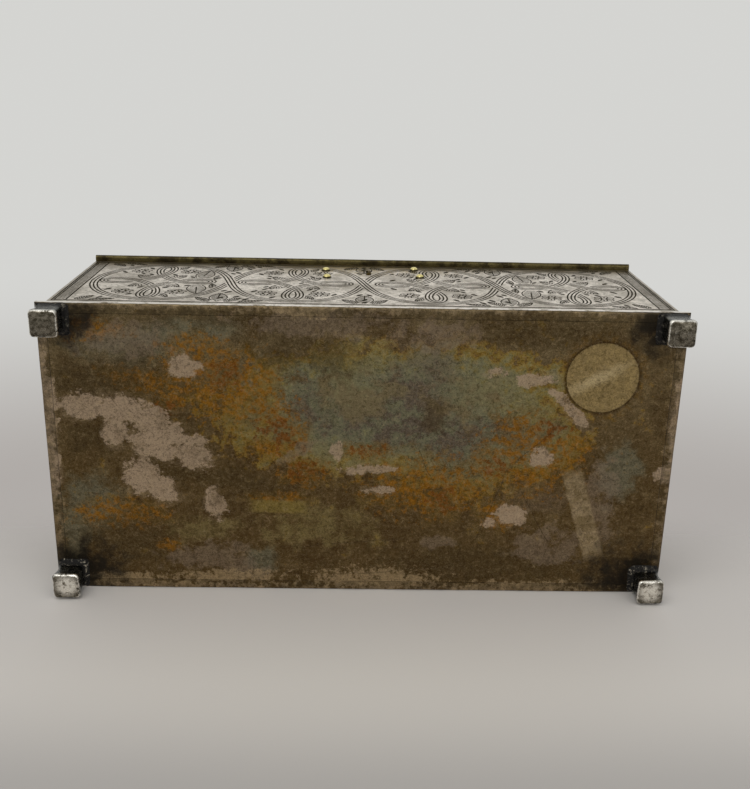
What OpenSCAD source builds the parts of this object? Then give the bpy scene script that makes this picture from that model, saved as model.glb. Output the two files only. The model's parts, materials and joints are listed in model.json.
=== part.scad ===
// Silver-plated table chest for flatware: a soldered sheet-metal shell on four block
// feet, a hinged lid with a lifting lip, a small box lock and a wooden lining.
// The chest stands on its feet. Front is -Y and +Z is up. The origin is at floor level
// in the middle of the outline that runs from the lip to the back of the base rim.

/* [Shell] */
// Length of the base, left to right
base_w = 280; // [250:1:340]
// Depth of the base, front to back
base_d = 136; // [120:1:170]
// Height of the body from the underside of the base to the lid seam
body_h = 97; // [90:1:130]
// Width of the ledge that the base rim leaves round the body
base_ledge = 2; // [1:0.5:5]
// Height of the base rim
rim_h = 4; // [3:0.5:8]
// Width of the rim's flange, which frames the bottom plate
rim_flange = 4.5; // [2.5:0.5:8]
// Thickness of the bottom plate and of the rim's flange
bottom_t = 1.4; // [1:0.1:2.5]
// Thickness of the sheet of the walls and the lid
sheet_t = 1.2; // [0.9:0.1:1.5]

/* [Feet] */
// Side of each square foot block
foot_w = 12; // [9:0.5:18]
// Height of the feet
foot_h = 11.7; // [9:0.1:16]
// How much the foot's waist is drawn in on each side
foot_waist = 0.8; // [0.2:0.1:1.6]
// How far the foot's root flange stands out of the block, towards the middle
foot_flange = 0.9; // [0.4:0.1:2]
// Thickness of the root flange
foot_flange_t = 1.2; // [0.8:0.1:2]
// Inset of each foot from the two edges of the base
foot_inset = 0.5; // [0.1:0.1:6]

/* [Lid] */
// Height of the lid
lid_h = 12; // [10:0.5:18]
// How far the lifting lip stands out in front of the body
lip_out = 3; // [1.5:0.1:6]
// Thickness of the lifting lip
lip_t = 2.6; // [1.5:0.1:3]
// Gap between the body and the closed lid
seam_gap = 0.3; // [0.3:0.05:0.5]

/* [Hinge] */
// Radius of the hinge barrel
barrel_r = 1.4; // [1.2:0.05:1.5]
// Radius of the hinge pin
pin_r = 0.7; // [0.5:0.05:0.8]
// How far the pin's axis lies in front of the back face
axis_in = 1; // [0.9:0.05:1.1]
// Number of knuckles, body and lid together
knuckles = 13; // [7:2:17]
// Distance from the barrel's end to the side of the body
barrel_end = 0.4; // [0.2:0.1:1]
// Thickness of the hinge leaves
leaf_t = 0.8; // [0.6:0.1:1]
// Height of the body leaf below the pin's axis
body_leaf_h = 11; // [10:0.5:18]

/* [Lock] */
// How far the lock sits to the right of the middle
lock_x = 2.3; // [0:0.1:6]
// Width of the lock case
case_w = 58; // [56:1:80]
// Height of the lock case
case_h = 34; // [33:1:45]
// Depth of the lock case, front to back
case_d = 8; // [8:0.5:10]
// Distance from the lid seam down to the keyhole's round part
key_drop = 13.5; // [13:0.1:15]
// Radius of the keyhole's round part
key_r = 1.9; // [1.6:0.1:1.9]
// Width of the keyhole's slot
slot_w = 2.4; // [1.6:0.1:2.8]
// Length of the keyhole's slot below the round part's centre
slot_l = 9; // [7:0.5:10]
// Travel of the bolt
bolt_travel = 5; // [4.6:0.1:5]
// Radius of the domed rivet heads that hold the lock
dome_r = 2.3; // [1.6:0.1:3]
// How far the domed rivet heads stand out
dome_out = 1.8; // [1:0.1:2.2]

/* [Lining] */
// Thickness of the wooden lining boards
board_t = 4; // [3.5:0.5:6]
// Thickness of the lid's lining board
lid_board_t = 2.6; // [2:0.1:4]
// Thickness of the baize
baize_t = 0.8; // [0.5:0.1:1.5]
// Number of notches in each rack
notches = 5; // [3:1:6]
// Width of a rack notch
notch_w = 10; // [7:0.5:11]
// Depth of a rack notch
notch_deep = 12; // [8:0.5:14]
// Height of the racks
rack_h = 24; // [20:1:34]
// Thickness of the racks
rack_t = 9; // [6:0.5:14]
// Distance of each rack from the middle of the chest
rack_x = 72; // [55:1:90]

/* [Hidden] */
$fn = 48;

// Silver plate, its tarnish, brass, cedar and baize
silver = [0.62, 0.58, 0.55];
tarnish = [0.36, 0.31, 0.24];
brass = [0.78, 0.62, 0.30];
cedar = [0.50, 0.28, 0.16];
green = [0.10, 0.22, 0.16];
// Gap round a pin or screw in its hole, and the gap left beside a part that moves
hole_gap = 0.05;
run_gap = 0.3;
// How far a cutting shape reaches past what it cuts
over = 1;

// Shell: the middle lies between the lip's nose and the back of the base rim
mid_y = max(0, (lip_out - base_ledge) / 2);
body_w = base_w - 2 * base_ledge;
body_d = base_d - 2 * base_ledge;
inner_w = body_w - 2 * sheet_t;
inner_d = body_d - 2 * sheet_t;
front_y = mid_y - body_d / 2;
back_y = mid_y + body_d / 2;
front_in = front_y + sheet_t;
back_in = back_y - sheet_t;
flange_w = max(rim_flange, base_ledge + sheet_t);
plate_w = base_w - 2 * flange_w;
plate_d = base_d - 2 * flange_w;
plate_top = foot_h + bottom_t;
body_top = foot_h + body_h;
lid_bottom = body_top + seam_gap;
lid_top_z = lid_bottom + lid_h;
lid_under = lid_top_z - sheet_t;
board_under = lid_under - lid_board_t;

// Hinge: its leaves lie inside the back walls and its barrel lies between their edges
axis_y = back_y - axis_in;
axis_z = body_top + seam_gap / 2;
relief_r = barrel_r + run_gap;
barrel_w = body_w - 2 * barrel_end;
leaf_w = inner_w - 2 * run_gap;
knuckle_w = barrel_w / knuckles;
knuckle_gap = 0.2;
pin_end = 0.4;
lid_leaf_h = lid_under - axis_z - run_gap;
body_rivet_z = axis_z - 0.6 * body_leaf_h;
lid_rivet_z = axis_z + 0.6 * lid_leaf_h;
hinge_dome_r = 1.3;
hinge_dome_out = 0.6;
shank_r = 0.8;
head_t = 0.5;
head_scale = 1.45;
body_spans = [for (i = [0 : 2 : knuckles - 1]) i];
lid_spans = [for (i = [1 : 2 : knuckles - 1]) i];
// Depth that the leaf and the inner heads of its rivets take behind the lining
leaf_room = leaf_t + head_t + run_gap;

// Lock, by the keyhole's round part
key_z = body_top - key_drop;
case_wall = 1;
cap_t = 1;
case_bottom = body_top - case_h;
case_in = front_in + case_d;
bolt_y = (front_in + case_wall + case_in - cap_t) / 2;
bolt_t = 2;
// Hand-set places of the four lock rivets, from the keyhole's round part
lock_rivets_at = [[-21.5, 0.7], [-20.5, -15.5], [23.1, 4.5], [25.2, -12.7]];
lock_shank_r = 1.1;
// Staple: it hangs from the strike plate into the case, and the bolt's tongue enters it
staple_t = 2;
staple_w = 4;
eye_d = staple_w - 1.2;
eye_h = 3;
staple_drop = key_drop - 6;
eye_z = body_top - staple_drop + 1.3 + eye_h / 2;
// The staple swings with the lid, so its slot is longer towards the front
staple_swing = staple_drop * staple_drop / (2 * (axis_y - bolt_y));
// Bolt: a bar under the staple, an upright and a tongue, as distances from the lock's
// middle and from the keyhole's height
tongue_h = 1.8;
tongue_x = -staple_t / 2 - 1;
upright_x = tongue_x - 5 - bolt_travel;
upright_w = 4;
bar_x0 = -18;
bar_x1 = 12;
bar_z = 2.2;
bar_h = 3.4;
talon_w = bolt_travel - 0.5;
talon_h = 1.8;
guide_w = 7;
guides_at = [-16, 7];
guide_lip = 1.4;
spring_t = 0.5;
cap_screw_x = 12;
cap_screw_z = case_bottom + 4;
cap_screw_r = 0.9;
cap_screw_head_r = 1.9;
cap_screw_head_t = 0.7;
cap_post_r = 2;
key_post_r = 0.8;
screw_slot = 0.4;
strike_w = 30;
strike_d = 7;
strike_t = 1;
strike_screw_x = 10;
screw_r = 1.1;
screw_head_r = 2;
screw_head_t = 0.6;
screw_l = 3.4;

// Lining
well_w = inner_w - 2 * board_t;
well_d = inner_d - 2 * board_t;
floor_top = plate_top + board_t;
well_floor = floor_top + baize_t;
baize_gap = 0.3;
rack_half = well_d / 2 - run_gap;
notch_pitch = 2 * rack_half / (notches + 0.6);
notch_r = min(notch_w, notch_pitch - 3) / 2;

// Box between two opposite corners
module slab(low, high) {
  translate(low) cube([high[0] - low[0], high[1] - low[1], high[2] - low[2]]);
}

// Round bar along X
module rod_x(x0, x1, y, z, r) {
  translate([x0, y, z]) rotate([0, 90, 0]) cylinder(h = x1 - x0, r = r);
}

// Round bar along Y
module rod_y(x, y0, y1, z, r) {
  translate([x, y0, z]) rotate([-90, 0, 0]) cylinder(h = y1 - y0, r = r);
}

// What the hinge barrel needs clear, over the whole length
module hinge_relief() {
  rod_x(-base_w, base_w, axis_y, axis_z, relief_r);
}

// Square with round corners
module round_square(side, r) {
  square([side - 2 * r, side], center = true);
  square([side, side - 2 * r], center = true);
  for (x = [-1, 1], y = [-1, 1])
    translate([x * (side / 2 - r), y * (side / 2 - r)]) circle(r = r);
}

module bottom_plate() {
  color(tarnish)
    translate([-plate_w / 2, mid_y - plate_d / 2, foot_h]) cube([plate_w, plate_d, bottom_t]);
}

// One mitred side of the rim round the foot of the body: a bevelled bar with a flange
// that frames the bottom plate. It is drawn for the front and turned for the others.
module rim_side(length, depth) {
  bevel = min(base_ledge, rim_h) * 0.45;
  near = -depth / 2;
  intersection() {
    translate([-length / 2, 0, 0])
      rotate([90, 0, 90])
        linear_extrude(length)
          polygon([[near, foot_h], [near + flange_w, foot_h], [near + flange_w, plate_top],
                   [near + base_ledge, plate_top], [near + base_ledge, foot_h + rim_h],
                   [near + bevel, foot_h + rim_h], [near, foot_h + rim_h - bevel]]);
    linear_extrude(foot_h + rim_h)
      polygon([[-length / 2, near], [length / 2, near],
               [length / 2 - flange_w, near + flange_w],
               [-length / 2 + flange_w, near + flange_w]]);
  }
}

module base_rim(angle, length, depth) {
  color(silver) translate([0, mid_y, 0]) rotate([0, 0, angle]) rim_side(length, depth);
}

// Side view of a foot: bevelled at its bottom edge and drawn in at the waist
module foot_profile() {
  half = foot_w / 2;
  bevel_h = 1.7;
  bevel_w = 2.2;
  neck_top = foot_h - foot_flange_t;
  neck_low = foot_h * 0.36;
  neck_h = neck_top - neck_low;
  // Radius of the hollow that is foot_waist deep over the neck's height
  hollow_r = (neck_h * neck_h / 4 + foot_waist * foot_waist) / (2 * foot_waist);
  difference() {
    polygon([[-half + bevel_w, 0], [half - bevel_w, 0], [half, bevel_h], [half, foot_h],
             [-half, foot_h], [-half, bevel_h]]);
    for (s = [-1, 1])
      translate([s * (half - foot_waist + hollow_r), (neck_top + neck_low) / 2])
        circle(r = hollow_r, $fn = 120);
  }
}

// A foot block with its root flange. sx and sy say which corner it stands at.
module foot(sx, sy) {
  corner_r = 1.4;
  cx = sx * (base_w / 2 - foot_inset - foot_w / 2);
  cy = mid_y + sy * (base_d / 2 - foot_inset - foot_w / 2);
  color(silver) {
    translate([cx, cy, 0])
      intersection() {
        translate([0, foot_w, 0]) rotate([90, 0, 0]) linear_extrude(2 * foot_w) foot_profile();
        translate([-foot_w, 0, 0]) rotate([90, 0, 90]) linear_extrude(2 * foot_w) foot_profile();
        linear_extrude(foot_h) round_square(foot_w, corner_r);
      }
    translate([cx - sx * foot_flange / 2, cy - sy * foot_flange / 2, foot_h - foot_flange_t])
      linear_extrude(foot_flange_t) round_square(foot_w + foot_flange, corner_r);
  }
}

module keyhole(y0, y1) {
  rod_y(lock_x, y0, y1, key_z, key_r);
  slab([lock_x - slot_w / 2, y0, key_z - slot_l], [lock_x + slot_w / 2, y1, key_z]);
}

// Holes for the four lock rivets
module lock_rivet_holes(y0, y1) {
  for (p = lock_rivets_at)
    rod_y(lock_x + p[0], y0, y1, key_z + p[1], lock_shank_r + hole_gap);
}

module front_panel() {
  color(silver)
    difference() {
      slab([-body_w / 2, front_y, plate_top], [body_w / 2, front_in, body_top]);
      keyhole(front_y - over, front_in + over);
      lock_rivet_holes(front_y - over, front_in + over);
    }
}

// Knuckles are numbered from the left; the even ones belong to the body
function knuckle_mid(i) = -barrel_w / 2 + (i + 0.5) * knuckle_w;

// Holes for one row of hinge rivets
module hinge_rivet_holes(spans, z) {
  for (i = spans)
    rod_y(knuckle_mid(i), back_in - leaf_t - over, back_y + over, z, shank_r + hole_gap);
}

module back_panel() {
  color(silver)
    difference() {
      slab([-body_w / 2, back_in, plate_top], [body_w / 2, back_y, body_top]);
      hinge_relief();
      hinge_rivet_holes(body_spans, body_rivet_z);
    }
}

module side_wall(s, low, high) {
  color(silver)
    difference() {
      translate([s * (body_w - sheet_t) / 2, mid_y, (low + high) / 2])
        cube([sheet_t, inner_d, high - low], center = true);
      hinge_relief();
    }
}

module lid_top() {
  color(silver)
    slab([-body_w / 2, front_y, lid_under], [body_w / 2, back_y, lid_top_z]);
}

module lid_skirt_front() {
  color(silver)
    slab([-body_w / 2, front_y, lid_bottom], [body_w / 2, front_in, lid_under]);
}

module lid_skirt_back() {
  color(silver)
    difference() {
      slab([-body_w / 2, back_in, lid_bottom], [body_w / 2, back_y, lid_under]);
      hinge_relief();
      hinge_rivet_holes(lid_spans, lid_rivet_z);
    }
}

// The lip along the lid's front edge, with a round nose
module lifting_lip() {
  nose_r = lip_t / 2;
  color(silver) {
    slab([-body_w / 2, front_y - lip_out + nose_r, lid_bottom],
         [body_w / 2, front_y, lid_bottom + lip_t]);
    rod_x(-body_w / 2, body_w / 2, front_y - lip_out + nose_r, lid_bottom + nose_r, nose_r);
  }
}

// One leaf's knuckles and the webs that join them to it, below or above the axis
module knuckle_row(spans, web_low, web_high) {
  for (i = spans) {
    x0 = knuckle_mid(i) - (knuckle_w - knuckle_gap) / 2;
    x1 = knuckle_mid(i) + (knuckle_w - knuckle_gap) / 2;
    rod_x(x0, x1, axis_y, axis_z, barrel_r);
    slab([max(x0, -leaf_w / 2), back_in - leaf_t, web_low],
         [min(x1, leaf_w / 2), back_in, web_high]);
  }
}

// A leaf plate between two heights, cut clear of the barrel
module leaf_plate(low, high) {
  difference() {
    slab([-leaf_w / 2, back_in - leaf_t, low], [leaf_w / 2, back_in, high]);
    hinge_relief();
  }
}

module hinge_body_leaf() {
  color(brass)
    difference() {
      union() {
        leaf_plate(axis_z - body_leaf_h, axis_z);
        knuckle_row(body_spans, axis_z - relief_r, axis_z);
      }
      rod_x(-base_w, base_w, axis_y, axis_z, pin_r + hole_gap);
      hinge_rivet_holes(body_spans, body_rivet_z);
    }
}

module hinge_lid_leaf() {
  color(brass)
    difference() {
      union() {
        leaf_plate(axis_z, axis_z + lid_leaf_h);
        knuckle_row(lid_spans, axis_z, axis_z + relief_r);
      }
      rod_x(-base_w, base_w, axis_y, axis_z, pin_r + hole_gap);
      hinge_rivet_holes(lid_spans, lid_rivet_z);
    }
}

module hinge_pin() {
  color(brass)
    rod_x(-barrel_w / 2 + pin_end, barrel_w / 2 - pin_end, axis_y, axis_z, pin_r);
}

// A rivet along +Y: a low dome at the origin, a shank and a flat inner head
module wall_rivet(dome, out, shank, grip) {
  ball_r = (dome * dome + out * out) / (2 * out);
  rotate([-90, 0, 0]) {
    rotate_extrude()
      intersection() {
        translate([0, out - ball_r]) circle(r = ball_r);
        square([dome, out]);
      }
    translate([0, 0, -grip]) cylinder(h = grip, r = shank);
    translate([0, 0, -grip - head_t]) cylinder(h = head_t, r = shank * head_scale);
  }
}

module hinge_rivets(spans, z) {
  color(brass)
    for (i = spans)
      translate([knuckle_mid(i), back_y, z])
        wall_rivet(hinge_dome_r, hinge_dome_out, shank_r, sheet_t + leaf_t);
}

module lock_rivets() {
  color(brass)
    for (p = lock_rivets_at)
      translate([lock_x + p[0], front_y, key_z + p[1]])
        mirror([0, 1, 0]) wall_rivet(dome_r, dome_out, lock_shank_r, sheet_t + case_wall);
}

// A guide behind the bolt's bar, with a ledge under it and one over it if over_too is set
module bolt_guide(x, over_too) {
  back = bolt_y + bolt_t / 2;
  pad = bolt_y - bolt_t / 2 - run_gap;
  low = bar_z - run_gap - guide_lip;
  high = bar_z + bar_h + run_gap;
  translate([lock_x + x, 0, key_z]) {
    slab([0, front_in + case_wall, low], [guide_w, pad, high + guide_lip]);
    slab([0, pad, low], [guide_w, back, low + guide_lip]);
    if (over_too) slab([0, pad, high], [guide_w, back, high + guide_lip]);
  }
}

// The lock case: a tray behind the front panel, open towards the well
module lock_case() {
  x0 = lock_x - case_w / 2;
  x1 = lock_x + case_w / 2;
  slot_x = staple_t / 2 + run_gap;
  color(brass)
    difference() {
      union() {
        difference() {
          slab([x0, front_in, case_bottom], [x1, case_in - cap_t, body_top]);
          slab([x0 + case_wall, front_in + case_wall, case_bottom + case_wall],
               [x1 - case_wall, case_in, body_top - case_wall]);
        }
        bolt_guide(guides_at[0], false);
        bolt_guide(guides_at[1], true);
        for (s = [-1, 1])
          rod_y(lock_x + s * cap_screw_x, front_in, case_in - cap_t, cap_screw_z, cap_post_r);
      }
      keyhole(front_in - over, front_in + case_wall + over);
      lock_rivet_holes(front_in - over, front_in + case_wall + head_t);
      for (s = [-1, 1])
        rod_y(lock_x + s * cap_screw_x, front_in + case_wall, case_in, cap_screw_z,
              cap_screw_r + hole_gap);
      slab([lock_x - slot_x, bolt_y - staple_w / 2 - staple_swing - run_gap, body_top - 2 * case_wall],
           [lock_x + slot_x, bolt_y + staple_w / 2 + run_gap, body_top + over]);
    }
}

// The cap closes the case; two pads on it steady the bolt's bar
module lock_cap() {
  color(brass)
    difference() {
      union() {
        slab([lock_x - case_w / 2, case_in - cap_t, case_bottom],
             [lock_x + case_w / 2, case_in, body_top]);
        for (x = guides_at)
          translate([lock_x + x, 0, key_z + bar_z + run_gap])
            slab([0, bolt_y + bolt_t / 2 + run_gap, 0], [guide_w, case_in - cap_t, bar_h - 2 * run_gap]);
      }
      for (s = [-1, 1])
        rod_y(lock_x + s * cap_screw_x, case_in - cap_t - over, case_in + over, cap_screw_z,
              cap_screw_r + hole_gap);
    }
}

module cap_screws() {
  length = cap_t + case_d / 3;
  color(brass)
    for (s = [-1, 1])
      difference() {
        union() {
          rod_y(lock_x + s * cap_screw_x, case_in - length, case_in + cap_screw_head_t / 4,
                cap_screw_z, cap_screw_r);
          rod_y(lock_x + s * cap_screw_x, case_in, case_in + cap_screw_head_t, cap_screw_z,
                cap_screw_head_r);
        }
        translate([lock_x + s * cap_screw_x, case_in + cap_screw_head_t, cap_screw_z])
          cube([2 * cap_screw_head_r + over, cap_screw_head_t, screw_slot], center = true);
      }
}

// The post on the cap that the pipe of a key turns on
module key_post() {
  color(brass)
    rod_y(lock_x, front_in + case_wall + run_gap, case_in - cap_t, key_z, key_post_r);
}

module lock_bolt() {
  y0 = bolt_y - bolt_t / 2;
  y1 = bolt_y + bolt_t / 2;
  eye = eye_z - key_z;
  color(brass)
    translate([lock_x, 0, key_z])
      difference() {
        union() {
          slab([bar_x0, y0, bar_z], [bar_x1, y1, bar_z + bar_h]);
          slab([upright_x, y0, bar_z], [upright_x + upright_w, y1, eye + tongue_h / 2]);
          slab([upright_x, y0, eye - tongue_h / 2], [tongue_x, y1, eye + tongue_h / 2]);
        }
        slab([-talon_w, y0 - over, bar_z - over], [0, y1 + over, bar_z + talon_h]);
      }
}

// A bent strip fixed under the case's top that bears on the bolt's bar
module bolt_spring() {
  foot_l = 4;
  x0 = lock_x + upright_x - 9;
  x1 = lock_x + upright_x - 2 * run_gap;
  top = body_top - case_wall;
  low = key_z + bar_z + bar_h + run_gap;
  color(brass)
    translate([0, bolt_y + bolt_t / 2 - 0.2, 0])
      rotate([90, 0, 0])
        linear_extrude(bolt_t - 0.4)
          polygon([[x0, top], [x0 + foot_l, top], [x1, low + spring_t], [x1, low],
                   [x1 - spring_t, low], [x0 + foot_l - spring_t, top - spring_t],
                   [x0, top - spring_t]]);
}

// The strike plate on the lid, with the staple that drops into the lock
module strike_plate() {
  color(brass)
    difference() {
      union() {
        slab([lock_x - strike_w / 2, bolt_y - strike_d / 2, lid_bottom],
             [lock_x + strike_w / 2, bolt_y + strike_d / 2, lid_bottom + strike_t]);
        slab([lock_x - staple_t / 2, bolt_y - staple_w / 2, body_top - staple_drop],
             [lock_x + staple_t / 2, bolt_y + staple_w / 2, lid_bottom]);
      }
      translate([lock_x, bolt_y, eye_z]) cube([2 * staple_t, eye_d, eye_h], center = true);
      for (s = [-1, 1])
        translate([lock_x + s * strike_screw_x, bolt_y, lid_bottom - over]) {
          cylinder(h = over + strike_t + over, r = screw_r + hole_gap);
          cylinder(h = over + screw_head_t, r = screw_head_r + hole_gap);
        }
    }
}

module strike_screws() {
  color(brass)
    for (s = [-1, 1])
      translate([lock_x + s * strike_screw_x, bolt_y, lid_bottom])
        difference() {
          union() {
            cylinder(h = screw_l, r = screw_r);
            cylinder(h = screw_head_t, r = screw_head_r);
          }
          cube([2 * screw_head_r + over, screw_slot, screw_head_t], center = true);
        }
}

module floor_board() {
  color(cedar)
    slab([-inner_w / 2, front_in, plate_top], [inner_w / 2, back_in, floor_top]);
}

// The front board is let out for the lock case
module front_board() {
  color(cedar)
    difference() {
      slab([-inner_w / 2, front_in, floor_top], [inner_w / 2, front_in + board_t, body_top]);
      slab([lock_x - case_w / 2 - hole_gap, front_in - over, case_bottom - hole_gap],
           [lock_x + case_w / 2 + hole_gap, front_in + board_t + over, body_top + over]);
    }
}

// The back board is rebated for the hinge's body leaf and its rivets
module back_board() {
  color(cedar)
    difference() {
      slab([-inner_w / 2, back_in - board_t, floor_top], [inner_w / 2, back_in, body_top]);
      slab([-inner_w, back_in - leaf_room, axis_z - body_leaf_h - hole_gap],
           [inner_w, back_in + over, body_top + over]);
    }
}

module side_board(s) {
  color(cedar)
    translate([s * (inner_w - board_t) / 2, mid_y, (floor_top + body_top) / 2])
      cube([board_t, well_d, body_top - floor_top], center = true);
}

module floor_baize() {
  color(green)
    translate([0, mid_y, floor_top + baize_t / 2])
      cube([well_w - 2 * baize_gap, well_d - 2 * baize_gap, baize_t], center = true);
}

// A notched rest across the well, for the shanks of knives, forks and spoons
module rack(s) {
  x0 = s * rack_x - rack_t / 2;
  x1 = s * rack_x + rack_t / 2;
  top = well_floor + rack_h;
  notch_z = top - notch_deep + notch_r;
  color(cedar)
    difference() {
      slab([x0, mid_y - rack_half, well_floor], [x1, mid_y + rack_half, top]);
      for (i = [0 : notches - 1]) {
        y = mid_y + (i - (notches - 1) / 2) * notch_pitch;
        rod_x(x0 - over, x1 + over, y, notch_z, notch_r);
        slab([x0 - over, y - notch_r, notch_z], [x1 + over, y + notch_r, top + over]);
      }
    }
}

module lid_board() {
  color(cedar)
    slab([-inner_w / 2, front_in, board_under], [inner_w / 2, back_in - leaf_room, lid_under]);
}

// The rail behind the lid's front skirt, with the strike plate let in flush
module lid_front_rail() {
  color(cedar)
    difference() {
      slab([-inner_w / 2, front_in, lid_bottom], [inner_w / 2, front_in + case_d, board_under]);
      slab([lock_x - strike_w / 2, bolt_y - strike_d / 2, lid_bottom - over],
           [lock_x + strike_w / 2, bolt_y + strike_d / 2, lid_bottom + strike_t]);
      for (s = [-1, 1])
        translate([lock_x + s * strike_screw_x, bolt_y, lid_bottom])
          cylinder(h = screw_l, r = screw_r + hole_gap);
    }
}

module lid_baize() {
  color(green)
    slab([-inner_w / 2 + baize_gap, front_in + case_d + baize_gap, board_under - baize_t],
         [inner_w / 2 - baize_gap, back_in - leaf_room - baize_gap, board_under]);
}

bottom_plate();
base_rim(0, base_w, base_d);  // base_rim_front
base_rim(180, base_w, base_d);  // base_rim_back
base_rim(-90, base_d, base_w);  // base_rim_left
base_rim(90, base_d, base_w);  // base_rim_right
foot(-1, -1);  // foot_front_left
foot(1, -1);  // foot_front_right
foot(-1, 1);  // foot_back_left
foot(1, 1);  // foot_back_right
front_panel();
back_panel();
side_wall(-1, plate_top, body_top);  // left_panel
side_wall(1, plate_top, body_top);  // right_panel
lid_top();
lid_skirt_front();
lid_skirt_back();
side_wall(-1, lid_bottom, lid_under);  // lid_skirt_left
side_wall(1, lid_bottom, lid_under);  // lid_skirt_right
lifting_lip();
hinge_body_leaf();
hinge_lid_leaf();
hinge_pin();
hinge_rivets(body_spans, body_rivet_z);  // hinge_body_rivets
hinge_rivets(lid_spans, lid_rivet_z);  // hinge_lid_rivets
lock_rivets();
lock_case();
lock_cap();
cap_screws();
key_post();
lock_bolt();
bolt_spring();
strike_plate();
strike_screws();
floor_board();
front_board();
back_board();
side_board(-1);  // left_board
side_board(1);  // right_board
floor_baize();
rack(-1);  // rack_left
rack(1);  // rack_right
lid_board();
lid_front_rail();
lid_baize();
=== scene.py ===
# Dresses a silver-plated flatware chest: engraved panels, worn feet, rims and lip, a
# heat-stained underside, brass, cedar and baize. Lengths in the pattern functions are in
# millimetres on the panel; meshes and places are in metres.
import json
import math
import random

import bmesh
import bpy
import numpy as np
from mathutils import Matrix, Vector, noise
from mathutils.geometry import delaunay_2d_cdt


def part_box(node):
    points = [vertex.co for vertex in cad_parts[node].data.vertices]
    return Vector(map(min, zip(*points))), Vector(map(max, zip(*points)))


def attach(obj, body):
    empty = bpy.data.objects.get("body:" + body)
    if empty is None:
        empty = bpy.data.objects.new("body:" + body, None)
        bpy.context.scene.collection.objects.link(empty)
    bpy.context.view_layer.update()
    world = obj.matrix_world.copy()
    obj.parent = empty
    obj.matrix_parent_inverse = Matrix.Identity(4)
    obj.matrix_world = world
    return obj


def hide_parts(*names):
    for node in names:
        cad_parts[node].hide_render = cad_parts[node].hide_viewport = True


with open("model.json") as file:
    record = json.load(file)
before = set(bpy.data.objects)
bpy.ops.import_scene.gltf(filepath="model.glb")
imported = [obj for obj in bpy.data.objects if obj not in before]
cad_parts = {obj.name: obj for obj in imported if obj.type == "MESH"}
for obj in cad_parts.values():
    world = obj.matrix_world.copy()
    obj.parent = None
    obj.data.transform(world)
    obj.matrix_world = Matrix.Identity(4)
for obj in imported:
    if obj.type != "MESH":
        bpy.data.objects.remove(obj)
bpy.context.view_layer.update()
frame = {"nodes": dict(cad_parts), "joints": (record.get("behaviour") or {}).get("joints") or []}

bl_info = {
    "name": "Flatware chest",
    "version": (1, 0, 0),
    "blender": (4, 5, 0),
    "location": "View3D > Sidebar > Chest",
    "description": "Builds the engraved silver-plated flatware chest round its frame",
    "category": "Add Mesh",
}

MM = 0.001
X, Y, Z = Vector((1, 0, 0)), Vector((0, 1, 0)), Vector((0, 0, 1))


def low(node):
    """Lowest corner of a CAD node, in millimetres."""
    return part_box(node)[0] / MM


def high(node):
    """Highest corner of a CAD node, in millimetres."""
    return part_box(node)[1] / MM


# Heights and faces of the shell, in millimetres, taken from the frame
BASE_Z = low("bottom_plate").z
BODY_TOP = high("front_panel").z
SHEET = high("front_panel").y - low("front_panel").y
MID_Y = (low("base_rim_front").y + high("base_rim_back").y) / 2
HINGE_AXIS = next(j for j in frame["joints"] if j["name"] == "lid_hinge")["pos_m"]
AXIS_Y, AXIS_Z = HINGE_AXIS[1] / MM, HINGE_AXIS[2] / MM
RELIEF = 1.7


# Sizes and colours


class ChestSizes(bpy.types.PropertyGroup):
    line_w: bpy.props.FloatProperty(
        name="Engraved line", description="Width of an engraved line",
        default=0.74 * MM, min=0.1 * MM, unit="LENGTH")
    hatch_w: bpy.props.FloatProperty(
        name="Hatching", description="Width of a hatching stroke",
        default=0.55 * MM, min=0.1 * MM, unit="LENGTH")
    line_depth: bpy.props.FloatProperty(
        name="Line depth", description="Depth of the engraved lines",
        default=0.22 * MM, min=0.05 * MM, unit="LENGTH")
    band_w: bpy.props.FloatProperty(
        name="Strap", description="Width of an interlaced strap, outer line to outer line",
        default=3.3 * MM, min=1 * MM, unit="LENGTH")
    roundel: bpy.props.FloatProperty(
        name="Roundel pitch", description="Distance from roundel to roundel",
        default=65.4 * MM, min=30 * MM, unit="LENGTH")
    border: bpy.props.FloatProperty(
        name="Border", description="Width of the hatched border at a panel's ends",
        default=5 * MM, min=2 * MM, unit="LENGTH")
    dent: bpy.props.FloatProperty(
        name="Dents", description="How far hand work and wear move a surface",
        default=0.14 * MM, min=0, unit="LENGTH")


def colour(name, description, value):
    """A colour property with its default."""
    return bpy.props.FloatVectorProperty(
        name=name, description=description, default=value, size=3, min=0, max=1,
        subtype="COLOR")


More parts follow.
